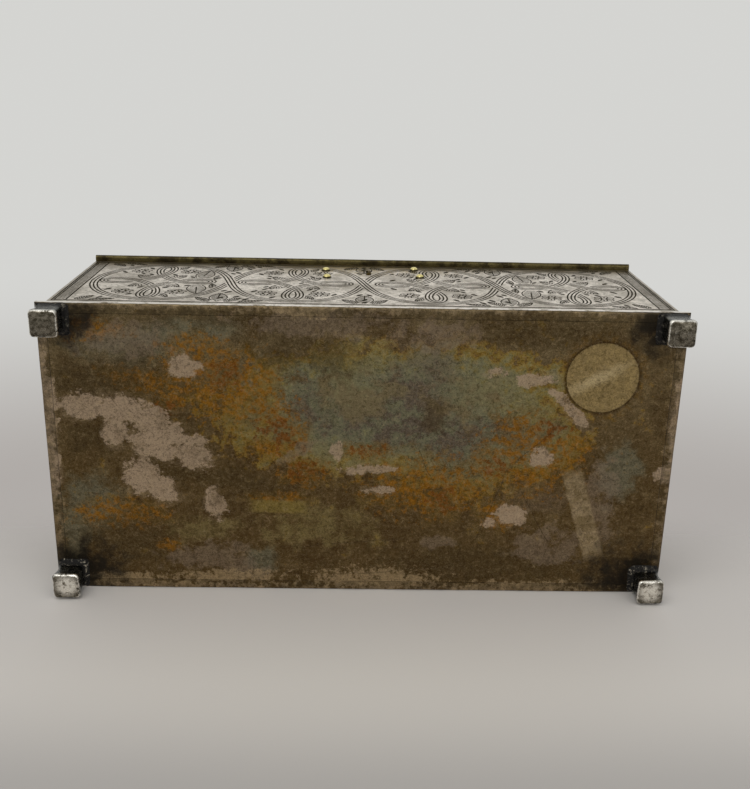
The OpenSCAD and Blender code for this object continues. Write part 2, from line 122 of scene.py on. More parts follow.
class ChestColours(bpy.types.PropertyGroup):
    silver: colour("Silver", "Ground of the engraved panels", (0.78, 0.715, 0.63))
    silver_brown: colour("Browned silver", "Tarnish near seams", (0.19, 0.145, 0.075))
    line: colour("Line", "Dirt and tarnish in the engraved lines", (0.022, 0.018, 0.009))
    plate: colour("Underside", "Dark brown of the underside", (0.098, 0.062, 0.024))
    plate_olive: colour("Underside, front", "Olive grey of the underside", (0.150, 0.112, 0.058))
    pale: colour("Rubbed metal", "Pinkish grey where the stain is off", (0.43, 0.325, 0.225))
    amber: colour("Amber", "Orange heat stain", (0.30, 0.125, 0.012))
    teal: colour("Teal", "Blue-grey heat stain", (0.165, 0.168, 0.118))
    scorch: colour("Scorch", "Black flux stain by the feet", (0.012, 0.011, 0.010))
    label: colour("Label ghost", "Khaki ghost of a label", (0.36, 0.265, 0.118))
    brass: colour("Brass", "Rivets, hinge and lock", (0.58, 0.46, 0.17))
    cedar: colour("Cedar", "Lining boards", (0.32, 0.15, 0.075))
    baize: colour("Baize", "Green cloth", (0.02, 0.07, 0.045))
    floor: colour("Floor", "Pale floor", (0.60, 0.57, 0.535))
    backdrop: colour("Backdrop", "Pale backdrop", (0.66, 0.66, 0.64))


# Shader nodes


class Sheet:
    """One node tree, with short calls that add a node and wire it."""

    def __init__(self, tree):
        self.tree = tree

    def node(self, kind, inputs=None, **settings):
        made = self.tree.nodes.new(kind)
        for key, value in settings.items():
            setattr(made, key, value)
        for key, value in (inputs or {}).items():
            self.feed(made.inputs[key], value)
        return made

    def feed(self, socket, value):
        if isinstance(value, bpy.types.NodeSocket):
            self.tree.links.new(value, socket)
        elif socket.type == "RGBA":
            socket.default_value = (*value[:3], 1.0)
        else:
            socket.default_value = value

    def math(self, operation, a, b=0.0, clamp=False):
        made = self.node("ShaderNodeMath", {0: a, 1: b}, operation=operation, use_clamp=clamp)
        return made.outputs[0]

    def vector(self, operation, a, b=(0, 0, 0), scale=1.0):
        made = self.node("ShaderNodeVectorMath", {0: a, 1: b}, operation=operation)
        if operation == "SCALE":
            self.feed(made.inputs["Scale"], scale)
        return made.outputs[1 if operation in ("LENGTH", "DOT_PRODUCT") else 0]

    def mix(self, factor, a, b, blend="MIX"):
        made = self.node("ShaderNodeMix", data_type="RGBA", blend_type=blend)
        self.feed(made.inputs[0], factor)
        self.feed(made.inputs[6], a)
        self.feed(made.inputs[7], b)
        return made.outputs[2]

    def ramp(self, value, start, end, to_start=0.0, to_end=1.0, smooth=True):
        made = self.node(
            "ShaderNodeMapRange",
            {"Value": value, "From Min": start, "From Max": end, "To Min": to_start,
             "To Max": to_end},
            interpolation_type="SMOOTHSTEP" if smooth else "LINEAR")
        return made.outputs["Result"]

    def noise(self, point, scale, detail=4.0, rough=0.55, output="Fac"):
        made = self.node(
            "ShaderNodeTexNoise",
            {"Vector": point, "Scale": scale, "Detail": detail, "Roughness": rough})
        return made.outputs[output]

    def group(self, name, **inputs):
        made = self.node("ShaderNodeGroup", node_tree=bpy.data.node_groups[name])
        for key, value in inputs.items():
            self.feed(made.inputs[key.replace("_", " ")], value)
        return made.outputs[0]

    def highest(self, values):
        """The largest of several masks. Each one is joined as it is made."""
        result = None
        for value in values:
            result = value if result is None else self.math("MAXIMUM", result, value)
        return result


SOCKETS = {"vector": "NodeSocketVector", "value": "NodeSocketFloat", "colour": "NodeSocketColor"}


def new_group(name, inputs, output, kind):
    """An empty node group with named sockets; returns its sheet, inputs and output."""
    tree = bpy.data.node_groups.new(name, "ShaderNodeTree")
    for key, (form, value) in inputs.items():
        socket = tree.interface.new_socket(key, in_out="INPUT", socket_type=SOCKETS[form])
        socket.default_value = value
    tree.interface.new_socket(output, in_out="OUTPUT", socket_type=SOCKETS[kind])
    sheet = Sheet(tree)
    entry = sheet.node("NodeGroupInput").outputs
    leave = sheet.node("NodeGroupOutput").inputs
    return sheet, entry, leave


def group_spot():
    """Soft-edged ellipse on the XY plane, in millimetres."""
    sheet, entry, leave = new_group(
        "Spot",
        {"Point": ("vector", (0, 0, 0)), "Centre": ("vector", (0, 0, 0)),
         "Size": ("vector", (10, 10, 1)), "Angle": ("value", 0.0), "Soft": ("value", 0.3)},
        "Mask", "value")
    moved = sheet.vector("SUBTRACT", entry["Point"], entry["Centre"])
    turned = sheet.node(
        "ShaderNodeVectorRotate", {"Vector": moved, "Angle": entry["Angle"]},
        rotation_type="Z_AXIS", invert=True).outputs[0]
    flat = sheet.vector("MULTIPLY", sheet.vector("DIVIDE", turned, entry["Size"]), (1, 1, 0))
    far = sheet.vector("LENGTH", flat)
    outer = sheet.math("ADD", 1.0, entry["Soft"])
    inner = sheet.math("SUBTRACT", 1.0, entry["Soft"])
    sheet.feed(leave["Mask"], sheet.ramp(far, outer, inner))


def group_bar():
    """Soft-edged rectangle on the XY plane, in millimetres."""
    sheet, entry, leave = new_group(
        "Bar",
        {"Point": ("vector", (0, 0, 0)), "Centre": ("vector", (0, 0, 0)),
         "Size": ("vector", (10, 10, 1)), "Angle": ("value", 0.0), "Soft": ("value", 0.1)},
        "Mask", "value")
    moved = sheet.vector("SUBTRACT", entry["Point"], entry["Centre"])
    turned = sheet.node(
        "ShaderNodeVectorRotate", {"Vector": moved, "Angle": entry["Angle"]},
        rotation_type="Z_AXIS", invert=True).outputs[0]
    flat = sheet.vector("ABSOLUTE", sheet.vector("DIVIDE", turned, entry["Size"]))
    parts = sheet.node("ShaderNodeSeparateXYZ", {0: flat}).outputs
    far = sheet.math("MAXIMUM", parts[0], parts[1])
    outer = sheet.math("ADD", 1.0, entry["Soft"])
    inner = sheet.math("SUBTRACT", 1.0, entry["Soft"])
    sheet.feed(leave["Mask"], sheet.ramp(far, outer, inner))


def group_scratches():
    """Hairlines in three directions. More of them show as Amount rises."""
    sheet, entry, leave = new_group(
        "Scratches",
        {"Point": ("vector", (0, 0, 0)), "Scale": ("value", 1.0), "Amount": ("value", 0.5)},
        "Mask", "value")
    lines = []
    for number, angle in enumerate((0.35, 1.45, 2.5)):
        turned = sheet.node(
            "ShaderNodeVectorRotate", {"Vector": entry["Point"], "Angle": angle},
            rotation_type="Z_AXIS").outputs[0]
        moved = sheet.vector("ADD", turned, (37.0 * number, 11.0 * number, 5.0 * number))
        bent = sheet.vector("MULTIPLY", moved, (0.035, 0.55, 0.2))
        scaled = sheet.vector("SCALE", bent, scale=entry["Scale"])
        value = sheet.noise(scaled, 1.0, 2.0, 0.4)
        off = sheet.math("ABSOLUTE", sheet.math("SUBTRACT", value, 0.5))
        line = sheet.ramp(off, 0.0035, 0.001)
        patch = sheet.ramp(sheet.noise(moved, 0.05, 2.0), 0.55, 0.62)
        lines.append(sheet.math("MULTIPLY", line, patch))
    sheet.feed(leave["Mask"], sheet.math("MULTIPLY", sheet.highest(lines), entry["Amount"]))


def group_brushing():
    """Fine parallel polishing lines along X."""
    sheet, entry, leave = new_group(
        "Brushing", {"Point": ("vector", (0, 0, 0)), "Scale": ("value", 1.0)},
        "Height", "value")
    drawn = sheet.vector("MULTIPLY", entry["Point"], (0.03, 3.0, 3.0))
    scaled = sheet.vector("SCALE", drawn, scale=entry["Scale"])
    sheet.feed(leave["Height"], sheet.noise(scaled, 1.0, 3.0, 0.6))


def group_specks():
    """Small dark or bright specks, thinned by patches."""
    sheet, entry, leave = new_group(
        "Specks",
        {"Point": ("vector", (0, 0, 0)), "Scale": ("value", 1.0), "Amount": ("value", 0.5)},
        "Mask", "value")
    fine = sheet.noise(entry["Point"], entry["Scale"], 3.0, 0.7)
    coarse = sheet.noise(entry["Point"], 0.07, 3.0, 0.6)
    start = sheet.math("SUBTRACT", 0.86, sheet.math("MULTIPLY", entry["Amount"], 0.25))
    raised = sheet.math("ADD", fine, sheet.math("MULTIPLY", coarse, 0.25))
    end = sheet.math("ADD", start, 0.05)
    sheet.feed(leave["Mask"], sheet.ramp(raised, start, end))


def build_groups(colours):
    for make in (group_spot, group_bar, group_scratches, group_brushing, group_specks):
        make()
    group_stain(colours)


def new_material(name):
    """A material with one Principled BSDF; returns its sheet, its shader and millimetres."""
    material = bpy.data.materials.new(name)
    material.use_nodes = True
    sheet = Sheet(material.node_tree)
    shader = material.node_tree.nodes["Principled BSDF"]
    place = sheet.node("ShaderNodeTexCoord").outputs["Object"]
    point = sheet.vector("SCALE", place, scale=1 / MM)
    return material, sheet, shader, point


def bump(sheet, shader, height, distance, strength=1.0):
    """Feeds a height in millimetres of relief to the shader's normal."""
    made = sheet.node(
        "ShaderNodeBump", {"Height": height, "Distance": distance * MM, "Strength": strength})
    sheet.feed(shader.inputs["Normal"], made.outputs["Normal"])


# Stains on the underside: centre x, centre y, half length, half width in millimetres,
# turn in degrees
PALE_SPOTS = [
    (-122, -21, 10, 6, 0), (-106, -20, 11, 6, 0), (-95, -16, 9, 6, 20), (-84, -8, 8, 5, 25),
    (-109, -8, 5, 6, 20), (-92, -3, 12, 7, 10), (-76, 0, 9, 7, 35), (-139, -20, 5, 18, 0),
    (-139, 8, 4, 14, 0), (-99, 12, 8, 8, 0), (-91, 17, 9, 6, 40), (-66, 24.4, 4, 7, -12),
    (-77.5, -39.7, 6.4, 5, 0), (75, -36, 7, 3, -5), (57, -40, 4.4, 2.2, 0), (86, -29, 6, 2, 35),
    (94, -21, 8, 2.4, 48), (80, 0, 4.8, 4, 20), (68, 29, 7, 5.2, 25), (59, 33, 3, 2.6, 0),
    (137, 8, 5, 4, 0), (-11, -2, 2.6, 4, 0), (3, 7.5, 13, 1.8, -3), (8, 17, 6, 1.6, 0),
    (-140, -45, 3, 18, 0), (140, -18, 3, 22, 0)]
LILAC_SPOTS = [
    (-72, 50, 20, 6, -10), (-58, 56, 14, 6, 10), (-30, 0, 12, 3, -35), (35, 43, 7, 3, 0),
    (88, 44, 18, 9, 0), (-104, -52, 20, 8, 0), (108, 20, 9, 22, 0), (-20, -60, 30, 6, 0),
    (32, -56, 22, 7, 0)]
SAND_SPOTS = [(7, 63, 30, 6, 0), (-62, 62, 26, 3.4, -2), (-108, 63, 20, 3, 0), (75, 66, 38, 3, -1),
              (-25, -66, 14, 3.4, 0), (-100, 66.5, 60, 2, 0)]
AMBER_SPOTS = [
    (-96, -33, 24, 6, 10), (-84, -25, 10, 7, 0), (-74, -49, 18, 8, 0), (-60, -40, 11, 9, 0),
    (-52, -27, 14, 9, 10), (-40, -18, 16, 11, 25), (-31, -8, 10, 12, 0), (-40, -3, 14, 7, 0),
    (-26, 9, 14, 8, 0), (-118, -56, 22, 6, 0), (75, -12, 20, 11, 20), (60, 6, 13, 10, -20),
    (36, 20, 16, 11, 0), (92, -5, 14, 9, 0), (63, 29, 12, 9, 0), (-88, 46, 8, 4, 0),
    (2, -1.5, 13, 5, 0), (-38, 21, 16, 3.6, 0), (-60, -32, 36, 22, 20), (75, 0, 30, 22, 0),
    (30, 15, 36, 18, 0), (-110, 30, 26, 9, 0)]
TEAL_SPOTS = [
    (-22, -18, 12, 14, 0), (-38, -33, 20, 10, 10), (21, -22, 50, 26, 0), (48, -17, 20, 20, 0),
    (-4, -12, 20, 10, 0), (40, -6, 24, 14, 0), (-95, -50, 28, 8, 0), (-122, 27, 14, 12, 0),
    (115, 8, 9, 14, 0), (-130, 38, 6, 18, 0), (-56, -22, 5, 5, 0), (66, 4, 4, 9, 0),
    (-46, 54, 7, 6, 0), (-75, -56, 20, 6, 0)]
YELLOW_SPOTS = [
    (-4, -28, 20, 13, 0), (-44, -31, 7, 6, 0), (0, -46, 22, 9, 0), (61, 0, 15, 9, 0), (52, -28, 22, 12, 0),
    (72, -24, 18, 9, 0), (-12, 2, 16, 10, 0), (20, 6, 26, 10, 0), (-72, 38, 20, 7, -10),
    (-20, 36, 30, 10, 0)]
DARK_SPOTS = [
    (-27, -48, 24, 11, 8), (-97, 2.5, 6, 6, 0), (-121, -6, 12, 8, 0), (-84, 9, 16, 5, 20),
    (33, -19, 6, 9, 0), (-115, -34, 26, 8, 0), (-60, 14, 26, 6, 10), (-110, 44, 26, 12, 0),
    (55, 55, 50, 9, 0), (-100, -44, 10, 6, 0), (-40, -62, 60, 5, 0), (80, -58, 40, 8, 0)]
HEAT_SPOTS = [(14, -22, 66, 26, -4), (44, -8, 34, 22, 0), (-24, -24, 18, 18, 0), (64, -8, 28, 16, 0)]
HEAT_BANDS = [
    (0.12, (0.110, 0.072, 0.022)), (0.27, (0.225, 0.120, 0.018)), (0.37, (0.285, 0.190, 0.040)),
    (0.48, (0.250, 0.210, 0.080)), (0.68, (0.205, 0.205, 0.120)), (0.92, (0.150, 0.145, 0.098)),
    (1.0, (0.125, 0.098, 0.078))]
PLUM_SPOTS = [(26, -47, 17, 12, 20), (33, -24, 7, 12, 0), (78, 20, 14, 9, 0)]
RUST_SPOTS = [(-86, -22, 7, 5, 0), (-38, -10, 12, 8, 30), (-26, 8, 9, 7, 0), (60, 5, 8, 6, 0),
              (37, 21, 7, 9, 0), (2, -2, 9, 4, 0), (-60, -36, 9, 9, 0), (84, -14, 9, 6, 0)]
FOOT_SCORCH = [(-130, -61, 15, 11, 0), (130, -61, 15, 12, 0), (-128, 60, 19, 15, 0),
               (126, 60, 21, 15, 0)]
LABEL_AT, LABEL_R = (104.6, -37.6, 0), 15.8
TAPE_AT, TAPE_SIZE, TAPE_TURN = (101.5, 28.5, 0), (22, 4.6, 1), 72
HAIRLINES = [
    ((92, -20), (66, 6)), ((66, 6), (52, 44)), ((38, -15), (45, -10)), ((-120, -38), (-108, -22)),
    ((25, -4), (32, 12)), ((70, 14), (88, 46)), ((-30, 46), (22, 41)), ((-8, 60), (40, 56))]


def spots(sheet, point, rows):
    """The union of several soft ellipses, each fading all the way to its middle."""
    return sheet.highest(
        sheet.group("Spot", Point=point, Centre=(x, y, 0), Size=(long, wide, 1),
                    Angle=math.radians(turn), Soft=0.75)
        for x, y, long, wide, turn in rows)


def ragged(sheet, point, scale, reach):
    """The point, shifted by noise so that what is drawn on it has a ragged edge."""
    value = sheet.noise(point, scale, 5.0, 0.68, output="Color")
    centred = sheet.vector("SUBTRACT", value, (0.5, 0.5, 0.5))
    return sheet.vector("ADD", point, sheet.vector("SCALE", centred, scale=2 * reach))


def eroded(sheet, mask, tear, reach, start, end):
    """A soft mask cut to a torn edge by noise."""
    pushed = sheet.math("ADD", mask, sheet.math(
        "MULTIPLY", sheet.math("SUBTRACT", tear, 0.5), reach))
    shown = sheet.ramp(mask, 0.0, 0.12)
    return sheet.math("MULTIPLY", sheet.ramp(pushed, start, end), shown)


def hairline(sheet, point, start, end, width):
    """A thin straight mark between two points, on a warped plane."""
    middle = ((start[0] + end[0]) / 2, (start[1] + end[1]) / 2, 0)
    length = math.dist(start, end) / 2
    turn = math.atan2(end[1] - start[1], end[0] - start[0])
    return sheet.group("Bar", Point=point, Centre=middle, Size=(length, width, 1), Angle=turn,
                       Soft=0.5)


def group_stain(colours):
    """Heat colours, rubbed patches and paper ghosts of the underside, with a painted highlight across the
    label ghost, placed in millimetres.
    """
    sheet, entry, leave = new_group("Stain", {"Point": ("vector", (0, 0, 0))}, "Color", "colour")
    point = entry["Point"]
    smoky = ragged(sheet, point, 0.05, 9.0)
    torn = ragged(sheet, point, 0.22, 3.0)
    cloud = sheet.noise(point, 0.05, 6.0, 0.62)
    mottle = sheet.noise(sheet.vector("ADD", point, (50, 3, 0)), 0.14, 7.0, 0.66)
    tear = sheet.noise(point, 0.33, 8.0, 0.74)
    fine = sheet.noise(point, 1.1, 5.0, 0.72)
    burnt = eroded(sheet, spots(sheet, torn, FOOT_SCORCH), mottle, 3.2, 0.1, 1.15)
    down = sheet.node("ShaderNodeSeparateXYZ", {0: smoky}).outputs[1]
    made = sheet.mix(sheet.ramp(down, -60, 15), colours.plate_olive, colours.plate)
    made = sheet.mix(sheet.ramp(cloud, 0.4, 0.64, 0.0, 0.75), made, (0.078, 0.047, 0.018))
    made = sheet.mix(sheet.ramp(mottle, 0.46, 0.66, 0.0, 0.6), made, (0.165, 0.118, 0.055))

    def blend(rows, shade, amount, reach, start, end, where=smoky, grain=mottle):
        mask = eroded(sheet, spots(sheet, where, rows), grain, reach, start, end)
        return sheet.mix(sheet.math("MULTIPLY", mask, amount), made, shade)

    made = blend(TEAL_SPOTS, colours.teal, 0.6, 2.4, 0.1, 0.85)
    heat = sheet.math("ADD", spots(sheet, smoky, HEAT_SPOTS), sheet.math(
        "ADD", sheet.math("MULTIPLY", sheet.math("SUBTRACT", mottle, 0.5), 1.5),
        sheet.math("MULTIPLY", sheet.math("SUBTRACT", tear, 0.5), 1.0)))
    tint = sheet.node("ShaderNodeValToRGB", {"Fac": heat})
    bands = tint.color_ramp.elements
    for place, shade in HEAT_BANDS[:2]:
        bands[HEAT_BANDS.index((place, shade))].position = place
    for place, shade in HEAT_BANDS[2:]:
        bands.new(place)
    for band, (_, shade) in zip(bands, HEAT_BANDS):
        band.color = (*shade, 1.0)
    made = sheet.mix(sheet.ramp(heat, 0.16, 0.36, 0.0, 0.85), made, tint.outputs["Color"])
    made = blend(PLUM_SPOTS, (0.150, 0.110, 0.080), 0.4, 2.2, 0.2, 0.9)
    made = blend(YELLOW_SPOTS, (0.280, 0.230, 0.095), 0.42, 3.4, 0.3, 1.1)
    made = blend(AMBER_SPOTS, (0.165, 0.100, 0.022), 0.5, 3.2, 0.35, 1.1, torn)
    made = blend(AMBER_SPOTS, colours.amber, 0.82, 4.2, 0.70, 1.25, torn, tear)
    made = blend(RUST_SPOTS, (0.150, 0.045, 0.012), 0.7, 5.5, 0.75, 1.2, torn, tear)
    made = blend(DARK_SPOTS, (0.058, 0.038, 0.015), 0.62, 2.6, 0.2, 0.95)
    made = blend(LILAC_SPOTS, (0.235, 0.178, 0.130), 0.5, 3.4, 0.35, 0.85, torn)
    made = blend(SAND_SPOTS, (0.36, 0.265, 0.150), 0.8, 4.5, 0.4, 0.8, torn, tear)
    brushed = sheet.noise(sheet.vector("MULTIPLY", ragged(sheet, point, 0.12, 3.0), (0.12, 0.2, 1)),
                          1.0, 7.0, 0.6)
    pale = eroded(sheet, spots(sheet, torn, PALE_SPOTS), brushed, 2.6, 0.40, 0.60)
    softened = sheet.math("MULTIPLY", pale, sheet.ramp(mottle, 0.3, 0.55, 0.55, 0.95))
    made = sheet.mix(softened, made, colours.pale)
    halo = eroded(sheet, spots(sheet, smoky, PALE_SPOTS), mottle, 2.0, 0.2, 0.7)
    made = sheet.mix(sheet.math("MULTIPLY", halo, 0.18), made, colours.pale)

    edge = sheet.node("ShaderNodeSeparateXYZ", {0: ragged(sheet, point, 0.09, 5.0)}).outputs
    side = sheet.ramp(sheet.math("ABSOLUTE", edge[0]), 131, 140)
    ends = sheet.ramp(sheet.math("ABSOLUTE", sheet.math("SUBTRACT", edge[1], MID_Y)), 63, 68.5)
    rubbed = eroded(sheet, sheet.highest([side, ends]), tear, 4.0, 0.55, 0.95)
    made = sheet.mix(sheet.math("MULTIPLY", rubbed, 0.6), made, (0.34, 0.255, 0.155))

    label = sheet.group("Spot", Point=point, Centre=LABEL_AT, Size=(LABEL_R, LABEL_R, 1), Soft=0.015)
    ring_out = sheet.group(
        "Spot", Point=ragged(sheet, point, 0.3, 0.5), Centre=LABEL_AT,
        Size=(LABEL_R + 1.2, LABEL_R + 1.2, 1), Soft=0.05)
    seep = sheet.group("Spot", Point=torn, Centre=LABEL_AT,
                       Size=(LABEL_R + 3, LABEL_R + 3, 1), Soft=0.2)
    seep = sheet.math("MULTIPLY", seep, sheet.ramp(tear, 0.42, 0.58, 0.0, 0.6))
    made = sheet.mix(seep, made, (0.21, 0.11, 0.02))
    ring = sheet.math("SUBTRACT", ring_out, label, clamp=True)
    made = sheet.mix(sheet.math("MULTIPLY", ring, 0.9), made, (0.040, 0.022, 0.008))
    paper = sheet.mix(sheet.ramp(tear, 0.35, 0.65), (0.24, 0.175, 0.078), colours.label)
    # Painted highlight: a pale diagonal streak across the label ghost, mixed into its paper colour.
    label_highlight = sheet.group("Spot", Point=torn, Centre=(102, -37, 0), Size=(12, 2.4, 1),
                       Angle=math.radians(-28), Soft=0.95)
    paper = sheet.mix(sheet.math("MULTIPLY", label_highlight, 0.75), paper, (0.62, 0.50, 0.29))
    made = sheet.mix(sheet.math("MULTIPLY", label, 0.92), made, paper)
    slip = sheet.group("Bar", Point=ragged(sheet, point, 0.25, 1.0), Centre=TAPE_AT, Size=TAPE_SIZE,
                       Angle=math.radians(TAPE_TURN), Soft=0.14)
    gum = sheet.mix(sheet.ramp(mottle, 0.42, 0.6), (0.22, 0.162, 0.085), (0.36, 0.275, 0.165))
    made = sheet.mix(sheet.math("MULTIPLY", slip, 0.88), made, gum)
    gum_left = sheet.group("Bar", Point=ragged(sheet, point, 0.25, 1.5), Centre=(-37.5, 26, 0),
                           Size=(12, 3.0, 1), Angle=0.02, Soft=0.25)
    made = sheet.mix(sheet.math("MULTIPLY", gum_left, 0.7), made, (0.26, 0.195, 0.055))

    cracks = sheet.node(
        "ShaderNodeTexVoronoi", {"Vector": ragged(sheet, point, 0.3, 3.0), "Scale": 0.16},
        feature="DISTANCE_TO_EDGE").outputs["Distance"]
    crazed = sheet.math("MULTIPLY", sheet.ramp(cracks, 0.035, 0.006), sheet.ramp(cloud, 0.47, 0.56))
    made = sheet.mix(sheet.math("MULTIPLY", crazed, 0.4), made, (0.04, 0.025, 0.012))
    scratch = sheet.group("Scratches", Point=point, Scale=1.0, Amount=0.8)
    made = sheet.mix(sheet.math("MULTIPLY", scratch, 0.5), made, (0.05, 0.035, 0.02))
    wavy = ragged(sheet, point, 0.06, 2.5)
    drawn = sheet.highest(hairline(sheet, wavy, a, b, 0.22) for a, b in HAIRLINES)
    made = sheet.mix(sheet.math("MULTIPLY", drawn, 0.6), made, (0.045, 0.03, 0.016))
    speck = sheet.group("Specks", Point=point, Scale=1.6, Amount=0.5)
    made = sheet.mix(sheet.math("MULTIPLY", speck, 0.55), made, (0.03, 0.02, 0.01))
    light = sheet.group("Specks", Point=sheet.vector("ADD", point, (91, 17, 3)), Scale=1.9, Amount=0.4)
    made = sheet.mix(sheet.math("MULTIPLY", light, 0.35), made, (0.27, 0.21, 0.15))
    for axes, amount in (((0.025, 2.3, 1.0), 0.26), ((2.1, 0.03, 1.0), 0.14)):
        lines = sheet.noise(sheet.vector("MULTIPLY", torn, axes), 1.0, 4.0, 0.65)
        made = sheet.mix(sheet.ramp(lines, 0.3, 0.52, amount, 0.0), made, (0.03, 0.019, 0.008))
        made = sheet.mix(sheet.ramp(lines, 0.52, 0.75, 0.0, amount), made, (0.27, 0.20, 0.105))
    made = sheet.mix(sheet.ramp(fine, 0.4, 0.75, 0.0, 0.3), made, (0.02, 0.013, 0.006))
    for scale, dark, light in ((0.5, 0.45, 0.28), (1.5, 0.5, 0.3)):
        crisp = sheet.noise(sheet.vector("ADD", torn, (scale * 40, 0, 7)), scale, 5.0, 0.72)
        made = sheet.mix(sheet.ramp(crisp, 0.36, 0.49, dark, 0.0), made, (0.022, 0.014, 0.005))
        made = sheet.mix(sheet.ramp(crisp, 0.53, 0.68, 0.0, light), made, (0.38, 0.29, 0.165))
    lively = sheet.node("ShaderNodeHueSaturation", {"Saturation": 1.03, "Value": 1.2, "Color": made})
    made = lively.outputs["Color"]
    made = sheet.mix(sheet.math("MULTIPLY", burnt, 0.88), made, colours.scorch)
    sheet.feed(leave["Color"], made)


def underside_surface(sheet, shader, point):
    """Roughness and relief of old plate, shared by the plate and its rim."""
    fine = sheet.noise(point, 0.8, 5.0, 0.7)
    brush = sheet.group("Brushing", Point=point, Scale=1.0)
    scratch = sheet.group("Scratches", Point=point, Scale=1.0, Amount=0.8)
    sheet.feed(shader.inputs["Roughness"], sheet.ramp(fine, 0.3, 0.7, 0.34, 0.5))
    relief = sheet.math("ADD", sheet.math("MULTIPLY", brush, 0.5),
                        sheet.math("ADD", fine, sheet.math("MULTIPLY", scratch, -0.8)))
    bump(sheet, shader, relief, 0.05, 0.7)


def material_underside():
    """Dark silver plate with heat colours, rubbed patches and the ghosts of paper."""
    material, sheet, shader, point = new_material("underside")
    sheet.feed(shader.inputs["Base Color"], sheet.group("Stain", Point=point))
    shader.inputs["Metallic"].default_value = 0.96
    underside_surface(sheet, shader, point)
    return material


def material_engraved_silver(colours):
    """Bright ground of the engraved panels: lilac-grey silver that browns near seams."""
    material, sheet, shader, point = new_material("engraved_silver")
    parts = sheet.node("ShaderNodeSeparateXYZ", {0: ragged(sheet, point, 0.12, 3.0)}).outputs
    cloud = sheet.noise(point, 0.06, 6.0, 0.62)
    fine = sheet.noise(point, 0.9, 5.0, 0.7)
    made = sheet.mix(sheet.ramp(cloud, 0.4, 0.66), colours.silver, (0.42, 0.37, 0.30))
    near_seam = sheet.ramp(parts[2], BODY_TOP - 17, BODY_TOP - 3)
    over_seam = sheet.ramp(parts[2], BODY_TOP + 8, BODY_TOP + 2)
    near_base = sheet.ramp(parts[2], BASE_Z + 10, BASE_Z + 3)
    browned = sheet.math("MULTIPLY", sheet.math("MINIMUM", near_seam, over_seam), 0.8)
    browned = sheet.math("MAXIMUM", browned, sheet.math("MULTIPLY", near_base, 0.3))
    stain = sheet.ramp(sheet.noise(point, 0.13, 6.0, 0.7), 0.5, 0.7, 0.0, 0.5)
    made = sheet.mix(sheet.math("MAXIMUM", browned, stain), made, colours.silver_brown)
    corner = sheet.ramp(sheet.math("ABSOLUTE", parts[0]), 126, 139, 0.0, 0.6)
    made = sheet.mix(corner, made, (0.20, 0.165, 0.11))
    grime = sheet.noise(point, 0.5, 6.0, 0.75)
    made = sheet.mix(sheet.ramp(grime, 0.48, 0.60, 0.0, 0.62), made, (0.20, 0.17, 0.115))
    near_lock = sheet.group("Spot", Point=sheet.node(
        "ShaderNodeCombineXYZ", {0: parts[0], 1: parts[2]}).outputs[0], Centre=(2, 100, 0),
        Size=(44, 12, 1), Soft=0.8)
    brassy = sheet.math("MULTIPLY", near_lock, sheet.ramp(grime, 0.44, 0.56))
    made = sheet.mix(sheet.math("MULTIPLY", brassy, 0.7), made, (0.42, 0.31, 0.12))
    scratch = sheet.group("Scratches", Point=point, Scale=1.3, Amount=0.7)
    made = sheet.mix(sheet.math("MULTIPLY", scratch, 0.35), made, (0.2, 0.17, 0.13))
    speck = sheet.group("Specks", Point=point, Scale=1.8, Amount=0.5)
    made = sheet.mix(sheet.math("MULTIPLY", speck, 0.5), made, (0.08, 0.06, 0.03))
    sheet.feed(shader.inputs["Base Color"], made)
    shader.inputs["Metallic"].default_value = 0.9
    sheet.feed(shader.inputs["Roughness"], sheet.ramp(fine, 0.3, 0.7, 0.3, 0.46))
    relief = sheet.math("ADD", fine, sheet.noise(point, 0.18, 3.0, 0.5))
    bump(sheet, shader, relief, 0.06, 0.6)
    return material


def material_line(colours):
    """Dirt in the engraved lines."""
    material, sheet, shader, point = new_material("engraved_line")
    shade = sheet.noise(point, 0.3, 5.0, 0.7)
    made = sheet.mix(sheet.ramp(shade, 0.45, 0.75), colours.line, (0.075, 0.058, 0.026))
    sheet.feed(shader.inputs["Base Color"], made)
    shader.inputs["Specular IOR Level"].default_value = 0.05
    sheet.feed(shader.inputs["Roughness"], sheet.ramp(shade, 0.3, 0.7, 0.7, 0.9))
    return material


def material_rim():
    """Base moulding: stained below; worn silver on its outer side, with a painted highlight there and
    painted shade along its top where it meets the wall.
    """
    material, sheet, shader, point = new_material("underside_rim")
    parts = sheet.node("ShaderNodeSeparateXYZ", {0: ragged(sheet, point, 0.3, 0.5)}).outputs
    blotch = sheet.noise(point, 0.16, 7.0, 0.7)
    above = sheet.ramp(parts[2], BASE_Z + 0.35, BASE_Z + 0.95)
    # Worn silver with darker blotches on the outer face; its pale colour is also a painted highlight line
    # along the moulding.
    side = sheet.mix(sheet.ramp(blotch, 0.5, 0.64), (0.86, 0.82, 0.76), (0.24, 0.19, 0.12))
    # Painted shade: the top of the moulding darkens where it meets the wall above it.
    top = sheet.ramp(parts[2], BASE_Z + 3.3, BASE_Z + 3.9)
    side = sheet.mix(sheet.math("MULTIPLY", top, 0.9), side, (0.06, 0.045, 0.025))
    made = sheet.mix(above, sheet.group("Stain", Point=point), side)
    seam = sheet.math("ABSOLUTE", sheet.math("SUBTRACT", parts[2], BASE_Z + 0.25))
    made = sheet.mix(sheet.ramp(seam, 0.4, 0.1, 0.0, 0.5), made, (0.035, 0.027, 0.015))
    sheet.feed(shader.inputs["Base Color"], made)
    shader.inputs["Metallic"].default_value = 0.96
    underside_surface(sheet, shader, point)
    return material


